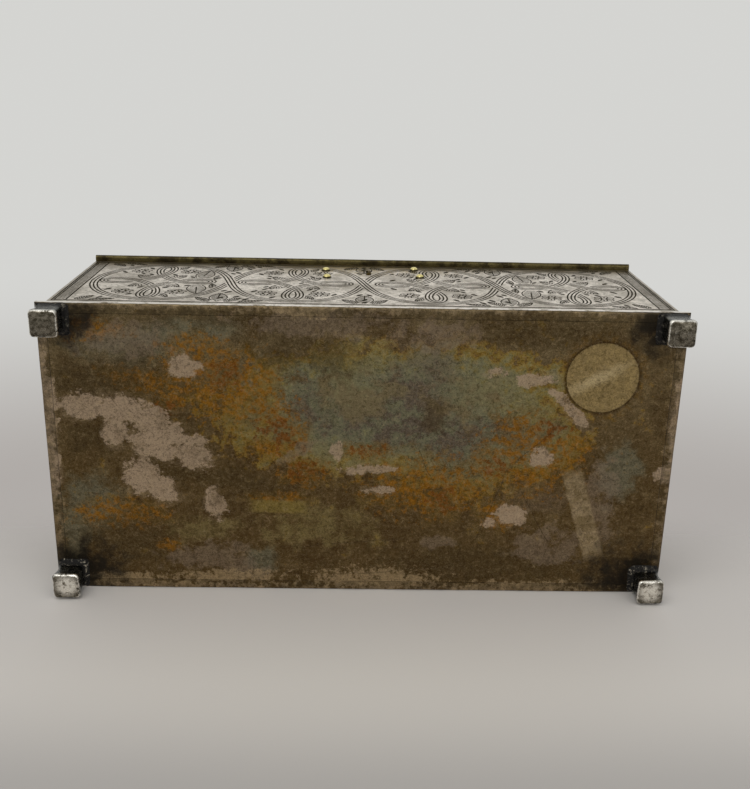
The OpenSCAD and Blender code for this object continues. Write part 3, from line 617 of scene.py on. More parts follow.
def material_lip():
    """Lifting lip: a painted highlight along its nose, olive brown under it."""
    material, sheet, shader, point = new_material("lip_silver")
    parts = sheet.node("ShaderNodeSeparateXYZ", {0: ragged(sheet, point, 0.2, 0.6)}).outputs
    blotch = sheet.noise(point, 0.14, 7.0, 0.7)
    fine = sheet.noise(point, 0.9, 5.0, 0.7)
    under = sheet.mix(sheet.ramp(blotch, 0.42, 0.62), (0.095, 0.075, 0.028), (0.025, 0.018, 0.007))
    # Painted highlight: the nose of the lip is coloured pale for the bright line along its edge.
    bright = sheet.mix(sheet.ramp(blotch, 0.46, 0.64), (0.56, 0.50, 0.36), (0.22, 0.175, 0.09))
    made = sheet.mix(sheet.ramp(parts[2], BODY_TOP + 1.6, BODY_TOP + 2.4), under, bright)
    sheet.feed(shader.inputs["Base Color"], made)
    shader.inputs["Metallic"].default_value = 0.9
    sheet.feed(shader.inputs["Roughness"], sheet.ramp(fine, 0.3, 0.7, 0.24, 0.42))
    bump(sheet, shader, sheet.math("ADD", fine, blotch), 0.06, 0.6)
    return material


def material_foot(colours):
    """Silver block: a painted highlight round the edge of the ground face, sides painted near-black as a
    dark reflection.
    """
    material, sheet, shader, point = new_material("block_silver")
    parts = sheet.node("ShaderNodeSeparateXYZ", {0: ragged(sheet, point, 0.7, 0.35)}).outputs
    fine = sheet.noise(point, 1.3, 5.0, 0.7)
    blotch = sheet.noise(point, 0.42, 6.0, 0.7)
    pad = sheet.mix(sheet.ramp(blotch, 0.4, 0.62), (0.19, 0.168, 0.13), (0.05, 0.042, 0.027))
    rear = sheet.ramp(parts[1], 0, 20)
    # A pale patch in the middle of the back feet's ground faces.
    pale_patch = sheet.mix(sheet.ramp(blotch, 0.5, 0.68), (0.78, 0.74, 0.66), (0.36, 0.31, 0.23))
    across = sheet.math("ABSOLUTE", parts[0])
    along = sheet.math("ABSOLUTE", sheet.math("SUBTRACT", parts[1], MID_Y))
    middle = sheet.group(
        "Spot", Point=sheet.node("ShaderNodeCombineXYZ", {0: across, 1: along}).outputs[0],
        Centre=(high("foot_back_right").x - FOOT_HALF - 0.6,
                high("foot_back_right").y - FOOT_HALF - MID_Y - 0.5, 0),
        Size=(4.6, 4.4, 1), Soft=0.45)
    pale_patch_mask = sheet.math("MULTIPLY", middle, sheet.ramp(blotch, 0.64, 0.5, 0.25, 1.0))
    pad = sheet.mix(sheet.math("MULTIPLY", rear, pale_patch_mask), pad, pale_patch)
    # Painted highlight: a bright band round the rounded edge of the ground face.
    edge = sheet.math("MULTIPLY", sheet.ramp(parts[2], 0.15, 0.45), sheet.ramp(parts[2], 1.9, 1.0))
    # Painted dark reflection: the sides are near-black, with lighter blotches.
    side = sheet.mix(sheet.ramp(blotch, 0.46, 0.64), (0.035, 0.036, 0.030), (0.21, 0.20, 0.165))
    made = sheet.mix(sheet.ramp(parts[2], 0.35, 1.5), pad, side)
    made = sheet.mix(sheet.math("MULTIPLY", edge, sheet.ramp(blotch, 0.62, 0.46)), made,
                     (0.85, 0.82, 0.75))
    root = sheet.ramp(parts[2], BASE_Z - 4.2, BASE_Z - 1.5)
    made = sheet.mix(sheet.math("MULTIPLY", root, 0.9), made, colours.scorch)
    scratch = sheet.group("Scratches", Point=point, Scale=3.0, Amount=0.9)
    made = sheet.mix(sheet.math("MULTIPLY", scratch, 0.6), made, (0.75, 0.72, 0.65))
    sheet.feed(shader.inputs["Base Color"], made)
    shader.inputs["Metallic"].default_value = 0.95
    sheet.feed(shader.inputs["Roughness"], sheet.ramp(fine, 0.3, 0.7, 0.14, 0.32))
    bump(sheet, shader, sheet.math("ADD", fine, sheet.math("MULTIPLY", blotch, 2)), 0.12, 0.8)
    return material


def material_solder(colours):
    """Burnt, lumpy solder and flux, with pale crumbs by the back feet."""
    material, sheet, shader, point = new_material("solder")
    lumps = sheet.noise(point, 0.7, 7.0, 0.75)
    parts = sheet.node("ShaderNodeSeparateXYZ", {0: point}).outputs
    rear = sheet.ramp(parts[1], 0, 20)
    crumbs = sheet.math("MULTIPLY", sheet.ramp(lumps, 0.54, 0.64), sheet.ramp(rear, 0, 1, 0.35, 0.9))
    made = sheet.mix(crumbs, colours.scorch, (0.55, 0.49, 0.38))
    sheet.feed(shader.inputs["Base Color"], made)
    shader.inputs["Metallic"].default_value = 0.7
    sheet.feed(shader.inputs["Roughness"], sheet.ramp(lumps, 0.3, 0.7, 0.25, 0.55))
    bump(sheet, shader, lumps, 0.8, 1.0)
    return material


def material_brass(colours):
    """Dull brass with brown blotches."""
    material, sheet, shader, point = new_material("dull_brass")
    blotch = sheet.noise(point, 0.35, 6.0, 0.68)
    fine = sheet.noise(point, 1.6, 5.0, 0.7)
    made = sheet.mix(sheet.ramp(blotch, 0.42, 0.6), colours.brass, (0.085, 0.06, 0.018))
    sheet.feed(shader.inputs["Base Color"], made)
    shader.inputs["Metallic"].default_value = 0.95
    sheet.feed(shader.inputs["Roughness"], sheet.ramp(fine, 0.3, 0.7, 0.22, 0.42))
    bump(sheet, shader, sheet.math("ADD", fine, blotch), 0.05, 0.6)
    return material


def material_studs():
    """Lock studs: a painted highlight on their crowns, a painted dark reflection round the foot."""
    material, sheet, shader, point = new_material("stud_brass")
    front = sheet.node("ShaderNodeSeparateXYZ", {0: ragged(sheet, point, 0.9, 0.25)}).outputs[1]
    face = low("front_panel").y
    # Painted highlight on the crown of each dome over a painted near-black ring round its foot, set by how
    # far the surface stands in front of the panel.
    crown_highlight = sheet.ramp(front, face - 0.45, face - 1.15)
    fine = sheet.noise(point, 1.6, 5.0, 0.7)
    made = sheet.mix(crown_highlight, (0.030, 0.022, 0.008), (0.90, 0.78, 0.34))
    sheet.feed(shader.inputs["Base Color"], made)
    shader.inputs["Metallic"].default_value = 0.96
    sheet.feed(shader.inputs["Roughness"], sheet.ramp(fine, 0.3, 0.7, 0.12, 0.3))
    bump(sheet, shader, fine, 0.08, 0.6)
    return material


def material_spring():
    """Blued spring strip."""
    material, sheet, shader, point = new_material("blued_steel")
    cloud = sheet.noise(point, 0.5, 5.0, 0.6)
    made = sheet.mix(cloud, (0.05, 0.06, 0.10), (0.16, 0.15, 0.14))
    sheet.feed(shader.inputs["Base Color"], made)
    shader.inputs["Metallic"].default_value = 0.95
    sheet.feed(shader.inputs["Roughness"], sheet.ramp(cloud, 0.3, 0.7, 0.25, 0.4))
    return material


def material_cedar(colours, name, along):
    """Cedar with its grain along one axis, 0 for X, 1 for Y and 2 for Z."""
    material, sheet, shader, point = new_material(name)
    stretch = [0.16, 0.16, 0.16]
    stretch[along] = 0.008
    drawn = sheet.vector("MULTIPLY", ragged(sheet, point, 0.02, 5.0), tuple(stretch))
    rings = sheet.noise(drawn, 1.0, 5.0, 0.55)
    band = sheet.math("FRACT", sheet.math("MULTIPLY", rings, 9.0))
    fibre = [2.2, 2.2, 2.2]
    fibre[along] = 0.06
    fine = sheet.noise(sheet.vector("MULTIPLY", point, tuple(fibre)), 1.0, 4.0, 0.7)
    made = sheet.mix(sheet.ramp(band, 0.1, 0.9), colours.cedar, (0.21, 0.085, 0.042))
    made = sheet.mix(sheet.ramp(fine, 0.45, 0.75, 0.0, 0.5), made, (0.13, 0.05, 0.025))
    sheet.feed(shader.inputs["Base Color"], made)
    sheet.feed(shader.inputs["Roughness"], sheet.ramp(fine, 0.3, 0.7, 0.45, 0.62))
    bump(sheet, shader, fine, 0.06, 0.7)
    return material


def material_baize(colours):
    """Napped wool cloth."""
    material, sheet, shader, point = new_material("green_baize")
    nap = sheet.noise(point, 2.4, 4.0, 0.8)
    worn = sheet.noise(point, 0.06, 5.0, 0.6)
    made = sheet.mix(sheet.ramp(nap, 0.35, 0.7), colours.baize, (0.035, 0.11, 0.07))
    made = sheet.mix(sheet.ramp(worn, 0.5, 0.7, 0.0, 0.45), made, (0.075, 0.115, 0.07))
    sheet.feed(shader.inputs["Base Color"], made)
    sheet.feed(shader.inputs["Roughness"], sheet.ramp(nap, 0.3, 0.7, 0.85, 1.0))
    shader.inputs["Sheen Weight"].default_value = 0.4
    shader.inputs["Sheen Roughness"].default_value = 0.5
    bump(sheet, shader, nap, 0.25, 0.8)
    return material


def build_materials(colours):
    """Every material, after the groups that they share."""
    build_groups(colours)
    material_underside()
    material_engraved_silver(colours)
    material_line(colours)
    material_rim()
    material_lip()
    material_foot(colours)
    material_solder(colours)
    material_brass(colours)
    material_studs()
    material_spring()
    for name, along in (("cedar_x", 0), ("cedar_y", 1)):
        material_cedar(colours, name, along)
    material_baize(colours)


def finish_of(name):
    """A material by its name."""
    return bpy.data.materials[name]


# Interlaced strapwork, drawn flat in millimetres: u to the right, v up


def around(centre, radii, steps):
    """Closed ellipse."""
    return [(centre[0] + radii[0] * math.cos(a), centre[1] + radii[1] * math.sin(a))
            for a in (2 * math.pi * i / steps for i in range(steps))]


ROUNDNESS = 0.55


def chain(start, end, mid_v, rise, count, steps):
    """Closed strand that weaves along a row: it crosses itself between roundels."""
    pitch = (end - start) / count
    ts = np.linspace(0, count, count * steps + 1)
    inner = ts - ROUNDNESS * np.sin(2 * np.pi * ts) / (2 * np.pi)
    first = 0.5 * (1 - np.cos(np.pi * ts))
    last = count - 0.5 * (1 - np.cos(np.pi * (count - ts)))
    along = np.where(ts < 0.5, first, np.where(ts > count - 0.5, last, inner))
    u, v = start + pitch * along, rise * np.sin(np.pi * ts)
    out = list(zip(u, mid_v + v))
    back = list(zip(u, mid_v - v))[::-1]
    return out[:-1] + back[:-1]


LOOP_SHARE = 1.9


def knot(centre, radii, steps):
    """Closed four-lobed strand that crosses itself into a small loop on each axis."""
    full = 3 + LOOP_SHARE
    made = []
    for i in range(steps):
        a = 2 * math.pi * i / steps
        made.append((centre[0] + radii[0] * (3 * math.cos(a) + LOOP_SHARE * math.cos(3 * a)) / full,
                     centre[1] + radii[1] * (3 * math.sin(a) - LOOP_SHARE * math.sin(3 * a)) / full))
    return made


def hits(one, other, same):
    """Where two closed strands cross: index on each, and the point."""
    p, q = np.array(one), np.array(other)
    d, e = np.roll(p, -1, 0) - p, np.roll(q, -1, 0) - q
    cross = d[:, None, 0] * e[None, :, 1] - d[:, None, 1] * e[None, :, 0]
    gap = q[None, :, :] - p[:, None, :]
    with np.errstate(divide="ignore", invalid="ignore"):
        t = (gap[..., 0] * e[None, :, 1] - gap[..., 1] * e[None, :, 0]) / cross
        u = (gap[..., 0] * d[:, None, 1] - gap[..., 1] * d[:, None, 0]) / cross
    found = (t >= 0) & (t < 1) & (u >= 0) & (u < 1)
    rows = []
    for i, j in np.argwhere(found):
        apart = min((i - j) % len(p), (j - i) % len(p))
        if same and (i >= j or apart < 3):
            continue
        rows.append((i + t[i, j], j + u[i, j], p[i] + t[i, j] * d[i]))
    return rows


def crossings(strands):
    """Every crossing as ((strand, place), (strand, place), point)."""
    made = []
    for a, one in enumerate(strands):
        for b in range(a, len(strands)):
            made += [((a, i), (b, j), point) for i, j, point in hits(one, strands[b], a == b)]
    return made


def weave(count, found):
    """For each crossing, which side (0 or 1) passes over, by turns along each strand."""
    stops = [sorted((found[k][side][1], k, side) for k in range(len(found)) for side in (0, 1)
                    if found[k][side][0] == s) for s in range(count)]
    over, done = {}, set()
    for start in range(count):
        waiting = [start]
        while waiting:
            strand = waiting.pop()
            if strand in done:
                continue
            done.add(strand)
            known = [n for n, (_, k, _) in enumerate(stops[strand]) if k in over]
            first = known[0] if known else 0
            top = not known or over[stops[strand][first][1]] == stops[strand][first][2]
            for n in range(len(stops[strand])):
                _, k, side = stops[strand][(first + n) % len(stops[strand])]
                over.setdefault(k, side if top == (n % 2 == 0) else 1 - side)
                waiting.append(found[k][1 - side][0])
    return over


def normals(points):
    """Unit normals of a closed line."""
    along = np.roll(points, -1, 0) - np.roll(points, 1, 0)
    along /= np.linalg.norm(along, axis=1)[:, None]
    return np.stack([-along[:, 1], along[:, 0]], 1)


def length(points):
    """Length of an open line."""
    return float(np.linalg.norm(np.diff(points, axis=0), axis=1).sum())


def runs(points, keep):
    """The stretches of a closed line whose points are kept."""
    if all(keep):
        return [np.vstack([points, points[:1]])]
    start = next(i for i in range(len(keep)) if not keep[i])
    made, current = [], []
    for n in range(1, len(keep) + 1):
        i = (start + n) % len(keep)
        if keep[i]:
            current.append(points[i])
        elif current:
            made.append(np.array(current))
            current = []
    return [r for r in made if length(r) > LEAST_RUN]


def near_any(points, others, reach):
    """Which points lie within reach of any other point."""
    gap = points[:, None, :] - others[None, :, :]
    return (np.einsum("ijk,ijk->ij", gap, gap) < reach * reach).any(1)


CROSSING_REACH = 9


def straps(strands, band, line):
    """The lines of interlaced straps, broken where a strap passes under another."""
    found = crossings(strands)
    over = weave(len(strands), found)
    reach = band / 2 + line
    made = []
    for s, strand in enumerate(strands):
        centre = np.array(strand)
        out = normals(centre)
        step = np.linalg.norm(centre[1] - centre[0])
        for offset in (-band / 2, 0, band / 2):
            points = centre + out * offset
            keep = np.ones(len(points), bool)
            for k, (first, second, _) in enumerate(found):
                sides = (first, second)
                under = sides[1 - over[k]]
                if under[0] != s:
                    continue
                top = sides[over[k]]
                window = int(CROSSING_REACH / step)
                mine = [(int(under[1]) + n) % len(points) for n in range(-window, window)]
                rival = np.array(strands[top[0]])
                theirs = [(int(top[1]) + n) % len(rival) for n in range(-window, window)]
                hidden = near_any(points[mine], rival[theirs], reach)
                for index, gone in zip(mine, hidden):
                    keep[index] &= not gone
            made += runs(points, keep)
    return made


def bent(start, end, bulge, steps=6):
    """Line from start to end, bowed sideways by bulge."""
    a, b = np.array(start, float), np.array(end, float)
    side = np.array([-(b - a)[1], (b - a)[0]])
    side /= np.linalg.norm(side)
    t = np.linspace(0, 1, steps + 1)[:, None]
    return a + (b - a) * t + side * bulge * 4 * t * (1 - t)


def leaf(root, tip, width, hatch=8):
    """Almond leaf with a rib and slanted hatching: outlines and hatching strokes."""
    root, tip = np.array(root, float), np.array(tip, float)
    along = tip - root
    side = np.array([-along[1], along[0]]) / np.linalg.norm(along)
    outlines = [bent(root, tip, width / 2), bent(root, tip, -width / 2), bent(root, tip, 0, 3)]
    strokes = []
    for n in range(1, hatch):
        t = n / hatch
        reach = 4 * t * (1 - t) * width / 2 * 0.86
        foot = root + along * t
        ahead = along / hatch * 0.9
        strokes += [np.array([foot, foot + side * s * reach + ahead]) for s in (-1, 1)]
    return outlines, strokes


def rosette(centre, radius, petals=6, corners=8):
    """Round flower: a ring of petals about an eye."""
    centre = np.array(centre, float)
    eye = around(centre, (radius * 0.3, radius * 0.3), corners)
    outlines = [np.array(eye + eye[:1])]
    strokes = []
    for n in range(petals):
        a = 2 * math.pi * n / petals + 0.3
        at = centre + radius * 0.66 * np.array([math.cos(a), math.sin(a)])
        ring = around(at, (radius * 0.34, radius * 0.34), corners)
        outlines.append(np.array(ring + ring[:1]))
        tip = np.array([math.cos(a), math.sin(a)]) * radius
        strokes.append(np.array([centre + tip * 0.45, centre + tip * 0.85]))
    return outlines, strokes


def foliage(centre, radii):
    """Leaves and flowers inside one roundel, each as (outlines, strokes)."""
    cx, cv = centre
    rx, rv = radii
    made = []
    for sx in (-1, 1):
        for sv in (-1, 1):
            made.append(rosette((cx + sx * rx * 0.37, cv + sv * rv * 0.60), rx * 0.15))
            for root, tip, width, hatch in (
                    ((0.58, 0.12), (0.66, 0.68), 0.27, 12), ((0.05, 0.07), (0.36, 0.34), 0.2, 10),
                    ((0.12, 0.66), (0.30, 0.88), 0.12, 7), ((0.80, 0.12), (0.86, 0.42), 0.1, 7)):
                made.append(leaf((cx + sx * rx * root[0], cv + sv * rv * root[1]),
                                 (cx + sx * rx * tip[0], cv + sv * rv * tip[1]), rx * width, hatch))
    for sv in (-1, 1):
        made.append(leaf((cx, cv + sv * rv * 0.60), (cx, cv + sv * rv * 0.90), rx * 0.16, 9))
        made.append(leaf((cx, cv + sv * rv * 0.04), (cx, cv + sv * rv * 0.28), rx * 0.14, 7))
    for sx in (-1, 1):
        made.append(leaf((cx + sx * rx * 0.66, cv), (cx + sx * rx * 0.84, cv), rx * 0.1, 6))
    return made


def spandrel(centre, height, up):
    """Pine-cone leaf between two roundels, from the border towards the crossing."""
    cu, cv = centre
    made = [leaf((cu, cv), (cu, cv + up * height), height * 0.5, 12)]
    for s in (-1, 1):
        for root, tip, width in (((0.16, 0), (0.62, 0.5), 0.26), ((0.5, 0), (1.25, 0.22), 0.2)):
            made.append(leaf((cu + s * height * root[0], cv + up * height * root[1]),
                             (cu + s * height * tip[0], cv + up * height * tip[1]),
                             height * width, 9))
    return made


def lozenge(centre, reach):
    """Flower with a leaf on each of its four sides, between four roundels."""
    cu, cv = centre
    made = [rosette(centre, reach * 0.42, 8)]
    for a in range(4):
        du, dv = math.cos(a * math.pi / 2), math.sin(a * math.pi / 2)
        made.append(leaf((cu + du * reach * 0.5, cv + dv * reach * 0.5),
                         (cu + du * reach, cv + dv * reach), reach * 0.26, 6))
    return made


def herringbone(u0, u1, v0, v1, pitch=1.7):
    """Hatched band between two upright lines: strokes that meet in the middle."""
    mid = (u0 + u1) / 2
    made = []
    for n in range(int((v1 - v0) / pitch)):
        v = v0 + n * pitch
        made += [np.array([(u0 + 0.5, v), (mid, v + pitch)]), np.array([(u1 - 0.5, v), (mid, v + pitch)])]
    return made


def sides(corners, width):
    """The straight sides of a sharp-cornered shape, each run on by half a line."""
    made = []
    for a, b in zip(corners, corners[1:]):
        a, b = np.array(a, float), np.array(b, float)
        on = (b - a) / np.linalg.norm(b - a) * width / 2
        made.append((np.array([a - on, b + on]), width))
    return made


def frame_line(u0, u1, v0, v1, width):
    """The four sides of a rectangle."""
    return sides([(u0, v0), (u1, v0), (u1, v1), (u0, v1), (u0, v0)], width)


# Small motifs: pitch of the places tried, smallest and largest radius, in millimetres
FILL_PITCH = 2.3
FILL_GAP = 1.4
FILL_SIZE = 2.2


def sprinkle(body, motifs, span, rise, clear):
    """Small flowers and leaves on the ground that straps and larger leaves leave bare."""
    made, taken = [], np.vstack([p for outlines, _ in motifs for p in outlines])
    mid_u, mid_v = (span[0] + span[1]) / 2, (rise[0] + rise[1]) / 2
    columns = int((span[1] - span[0]) / 2 / FILL_PITCH)
    rows = int((rise[1] - rise[0]) / 2 / FILL_PITCH)
    for row in sorted(range(-rows, rows + 1), key=abs):
        for column in sorted(range(-columns, columns + 1), key=abs):
            at = np.array((mid_u + FILL_PITCH * column, mid_v + FILL_PITCH * row))
            room = min(np.linalg.norm(body - at, axis=1).min() - clear,
                       np.linalg.norm(taken - at, axis=1).min(),
                       at[0] - span[0], span[1] - at[0], at[1] - rise[0], rise[1] - at[1])
            size = min(room - FILL_GAP * 0.5, FILL_SIZE)
            if size < FILL_GAP:
                continue
            if size > FILL_GAP * 1.3:
                extra = (rosette(at, size, 5, 6)[0], [])
            else:
                lean = math.copysign(0.7, column * row) * size
                extra = leaf(at - (lean, size), at + (lean, size), size * 0.8, 3)
            made.append(extra)
            taken = np.vstack([taken] + list(extra[0]))
    return made


# Share of a motif that must show for it to be drawn, and the shortest strap line drawn
LEAST_SHOWN = 0.7
LEAST_RUN = 1.5
# Panel border: distance of the outer line from the edge, and between the two lines
BORDER_IN = 1.6
BORDER_GAP = 1.0
# Points round a roundel of the chain and round a knot, by the number of rows
CHAIN_STEPS = {1: 84, 2: 64}
KNOT_STEPS = {1: 220, 2: 150}


def strapwork(span, rise, sizes, rows=1):
    """All engraved lines of a panel: (points, width) for each, in millimetres."""
    u0, u1 = span
    v0, v1 = rise
    line, thin = sizes.line_w / MM, sizes.hatch_w / MM
    band, pitch, border = sizes.band_w / MM, sizes.roundel / MM, sizes.border / MM
    edge = BORDER_IN + BORDER_GAP
    made = []
    for inset in (BORDER_IN, edge):
        made += frame_line(u0 + inset, u1 - inset, v0 + inset, v1 - inset, line)
    inner0, inner1 = u0 + edge + border, u1 - edge - border
    low_v, high_v = v0 + edge, v1 - edge
    for a, b in ((u0 + edge, inner0), (inner1, u1 - edge)):
        made += [(stroke, thin) for stroke in herringbone(a, b, low_v + 0.8, high_v - 1.4)]
    for u in (inner0, inner1):
        made.append((np.array([(u, low_v), (u, high_v)]), line))
    columns = max(1, round((inner1 - inner0) / pitch))
    step_u, step_v = (inner1 - inner0) / columns, (high_v - low_v) / rows
    radii = (step_u * 0.5, step_v * 0.455)
    knot_radii = (radii[0] - band * 2.1, radii[1] - band * 1.2)
    centres = [(inner0 + step_u * (c + 0.5), low_v + step_v * (r + 0.5))
               for r in range(rows) for c in range(columns)]
    strands = [chain(inner0 + band, inner1 - band, low_v + step_v * (r + 0.5), radii[1], columns,
                     CHAIN_STEPS[rows]) for r in range(rows)]
    strands += [knot(centre, knot_radii, KNOT_STEPS[rows]) for centre in centres]
    for run in straps(strands, band, line):
        clear = within(run, (inner0, inner1), (low_v, high_v), line)
        made += [(part, line) for part in open_runs(run, clear)]
    motifs = [motif for centre in centres for motif in foliage(centre, radii)]
    for c in range(columns + 1):
        u = inner0 + step_u * c
        for v, up in ((low_v, 1), (high_v, -1)):
            motifs += spandrel((u, v + up * 0.6), step_v * 0.2, up)
        if rows > 1 and 0 < c < columns:
            motifs += lozenge((u, (low_v + high_v) / 2), step_v * 0.27)
    body = np.array([p for s in strands for p in s])
    kept = [m for m in motifs if (~near_any(np.vstack(m[0]), body, band / 2 + line)).mean()
            >= LEAST_SHOWN]
    motifs = kept + sprinkle(body, kept, (inner0, inner1), (low_v, high_v), band / 2 + line)
    for outlines, strokes in motifs:
        together = np.vstack(outlines)
        free = ~near_any(together, body, band / 2 + line)
        free &= within(together, (inner0, inner1), (low_v, high_v), line)
        if free.mean() < LEAST_SHOWN:
            continue
        for group, width in ((outlines, line * 0.8), (strokes, thin)):
            for run in group:
                clear = ~near_any(run, body, band / 2 + line)
                clear &= within(run, (inner0, inner1), (low_v, high_v), line * 0.9)
                made += [(part, width) for part in open_runs(run, clear)]
    return made


def within(points, span, rise, clear):
    """Which points lie inside a rectangle, a clearance away from its sides."""
    across = (points[:, 0] > span[0] + clear) & (points[:, 0] < span[1] - clear)
    return across & (points[:, 1] > rise[0] + clear) & (points[:, 1] < rise[1] - clear)


def open_runs(points, keep):
    """The stretches of an open line whose points are kept."""
    made, current = [], []
    for point, kept in zip(points, keep):
        if kept:
            current.append(point)
        else:
            if len(current) > 1:
                made.append(np.array(current))
            current = []
    if len(current) > 1:
        made.append(np.array(current))
    return made


TRELLIS_END = 3


def trellis(span, rise, sizes):
    """Narrow border for a lid's edge: two lines with hatched diamonds between them."""
    u0, u1 = span
    v0, v1 = rise
    line, thin = sizes.line_w / MM, sizes.hatch_w / MM
    low_v, high_v = v0 + BORDER_IN, v1 - BORDER_IN
    made = [(np.array([(u0 + BORDER_IN, v), (u1 - BORDER_IN, v)]), line) for v in (low_v, high_v)]
    tall = high_v - low_v
    run = u1 - u0 - 2 * TRELLIS_END
    count = max(1, round(run / (tall * 1.1)))
    step = run / count
    mid = (low_v + high_v) / 2
    for n in range(count):
        left = u0 + TRELLIS_END + n * step
        tips = [(left, mid), (left + step / 2, high_v - 0.8), (left + step, mid),
                (left + step / 2, low_v + 0.8), (left, mid)]
        made += sides(tips, line * 0.8)
        for t in (0.32, 0.5, 0.68):
            reach = (1 - abs(2 * t - 1)) * (tall / 2 - 1.4)
            u = left + step * t
            made.append((np.array([(u, mid - reach), (u, mid + reach)]), thin))
    return made


# Meshes


def ribbon(points, width):
    """Polygons of at most a few points a side that cover a line of that width."""
    along = np.gradient(points, axis=0)
    along /= np.maximum(np.linalg.norm(along, axis=1), 1e-9)[:, None]
    side = np.stack([-along[:, 1], along[:, 0]], 1) * width / 2
    left, right = points + side, points - side
    longest = 6
    made = []
    for start in range(0, len(points) - 1, longest):
        end = min(start + longest, len(points) - 1)
        made.append(list(right[start:end + 1]) + list(left[start:end + 1][::-1]))
    return made


def finished(bm, name, body, materials, replaced=()):
    """Puts a finished mesh in the scene, hangs it on its body's empty and hides the frame parts that it
    replaces.
    """
    mesh = bpy.data.meshes.new(name)
    bm.to_mesh(mesh)
    bm.free()
    piece = bpy.data.objects.new(name, mesh)
    bpy.context.scene.collection.objects.link(piece)
    for material in materials:
        mesh.materials.append(finish_of(material))
    mesh.polygons.foreach_set("use_smooth", [True] * len(mesh.polygons))
    mesh.set_sharp_from_angle(angle=math.radians(35))
    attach(piece, body)
    if replaced:
        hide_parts(*replaced)
    return piece


def panel_frame(right, up, origin):
    """Matrix from panel millimetres (u, v, out) to the shared frame."""
    out = right.cross(up)
    turn = Matrix((right, up, out)).transposed().to_4x4()
    return Matrix.Translation(origin * MM) @ turn @ Matrix.Scale(MM, 4)


def engraved_sheet(name, outline, lines, place, sizes, body, node, holes=()):
    """A sheet whose lines are cut as real grooves in its outer face."""
    polygons = [list(outline)] + [list(h) for h in holes]
    first_line = len(polygons)
    for points, width in lines:
        polygons += ribbon(points, width)
    corners, faces = [], []
    for polygon in polygons:
        faces.append(list(range(len(corners), len(corners) + len(polygon))))
        corners += [Vector((float(u), float(v))) for u, v in polygon]
    flat, _, triangles, _, _, owners = delaunay_2d_cdt(corners, [], faces, 1, 1e-4)
    bm = bmesh.new()
    verts = [bm.verts.new((v.x, v.y, 0)) for v in flat]
    cut = []
    for triangle, owner in zip(triangles, owners):
        if any(0 < o < first_line for o in owner):
            continue
        face = bm.faces.new([verts[i] for i in triangle])
        if any(o >= first_line for o in owner):
            cut.append(face)
    bmesh.ops.delete(bm, geom=[v for v in bm.verts if not v.link_faces], context="VERTS")
    bmesh.ops.recalc_face_normals(bm, faces=bm.faces)
    if bm.faces[:][0].normal.z < 0:
        bmesh.ops.reverse_faces(bm, faces=bm.faces)
    rim = [e for e in bm.edges if e.is_boundary]
    sunk = bmesh.ops.extrude_face_region(bm, geom=cut)
    moved = [g for g in sunk["geom"] if isinstance(g, bmesh.types.BMVert)]
    bmesh.ops.translate(bm, verts=moved, vec=(0, 0, -sizes.line_depth / MM))
    bmesh.ops.delete(bm, geom=[f for f in cut if f.is_valid], context="FACES")
    for face in bm.faces:
        if min(v.co.z for v in face.verts) < -1e-4:
            face.material_index = 1
    rim = [e for e in rim if e.is_valid and e.is_boundary]
    back = bmesh.ops.extrude_edge_only(bm, edges=rim)
    low_verts = [g for g in back["geom"] if isinstance(g, bmesh.types.BMVert)]
    bmesh.ops.translate(bm, verts=low_verts, vec=(0, 0, -SHEET))
    low_edges = [g for g in back["geom"] if isinstance(g, bmesh.types.BMEdge) and g.is_boundary]
    bmesh.ops.triangle_fill(bm, edges=low_edges, use_beauty=True, normal=(0, 0, -1))
    bmesh.ops.recalc_face_normals(bm, faces=bm.faces)
    bm.transform(place)
    return finished(bm, name, body, ("engraved_silver", "engraved_line"), (node,))


def rectangle(span, rise):
    """Corners of a rectangle, counter-clockwise."""
    return [(span[0], rise[0]), (span[1], rise[0]), (span[1], rise[1]), (span[0], rise[1])]


def keyhole_outline():
    """Round head over a straight slot, as cut in the front panel."""
    centre_x = (low("key_post").x + high("key_post").x) / 2
    centre_z = (low("key_post").z + high("key_post").z) / 2
    radius, half, deep = 1.9, 1.2, 9.0
    start = math.acos(half / radius)
    points = [(centre_x - half, centre_z - deep), (centre_x + half, centre_z - deep)]
    for n in range(17):
        a = -start + (math.pi + 2 * start) * n / 16
        points.append((centre_x + radius * math.cos(a), centre_z + radius * math.sin(a)))
    return points


def notched(span, rise, corner_u, corner_v):
    """Rectangle whose corner near the hinge is cut round the barrel."""
    below = corner_v >= rise[1]
    edge_v = rise[1] if below else rise[0]
    a0 = math.asin((edge_v - corner_v) / RELIEF)
    a1 = math.acos((span[1] - corner_u) / RELIEF) * (-1 if below else 1)
    start = -math.pi - a0 if below else math.pi - a0
    points = []
    for n in range(9):
        a = start + (a1 - start) * n / 8
        points.append((corner_u + RELIEF * math.cos(a), corner_v + RELIEF * math.sin(a)))
    if below:
        return [(span[0], rise[0]), (span[1], rise[0])] + points[::-1] + [(span[0], rise[1])]
    return [(span[0], rise[0])] + points + [(span[1], rise[1]), (span[0], rise[1])]


def plain_run(node, axis):
    """A node's extent along one axis, in millimetres."""
    return low(node)[axis], high(node)[axis]


# Where the engraving starts above a wall's foot, the two lines below it, the room that the
# hinge leaves free on the back, and the plain foot of the lid's edges, in millimetres
FIELD_FOOT = 9.5
FOOT_LINES = (5.5, 7.0)
HINGE_ROOM = 13
LID_FOOT = 2.2
SIDE_FOOT = 1


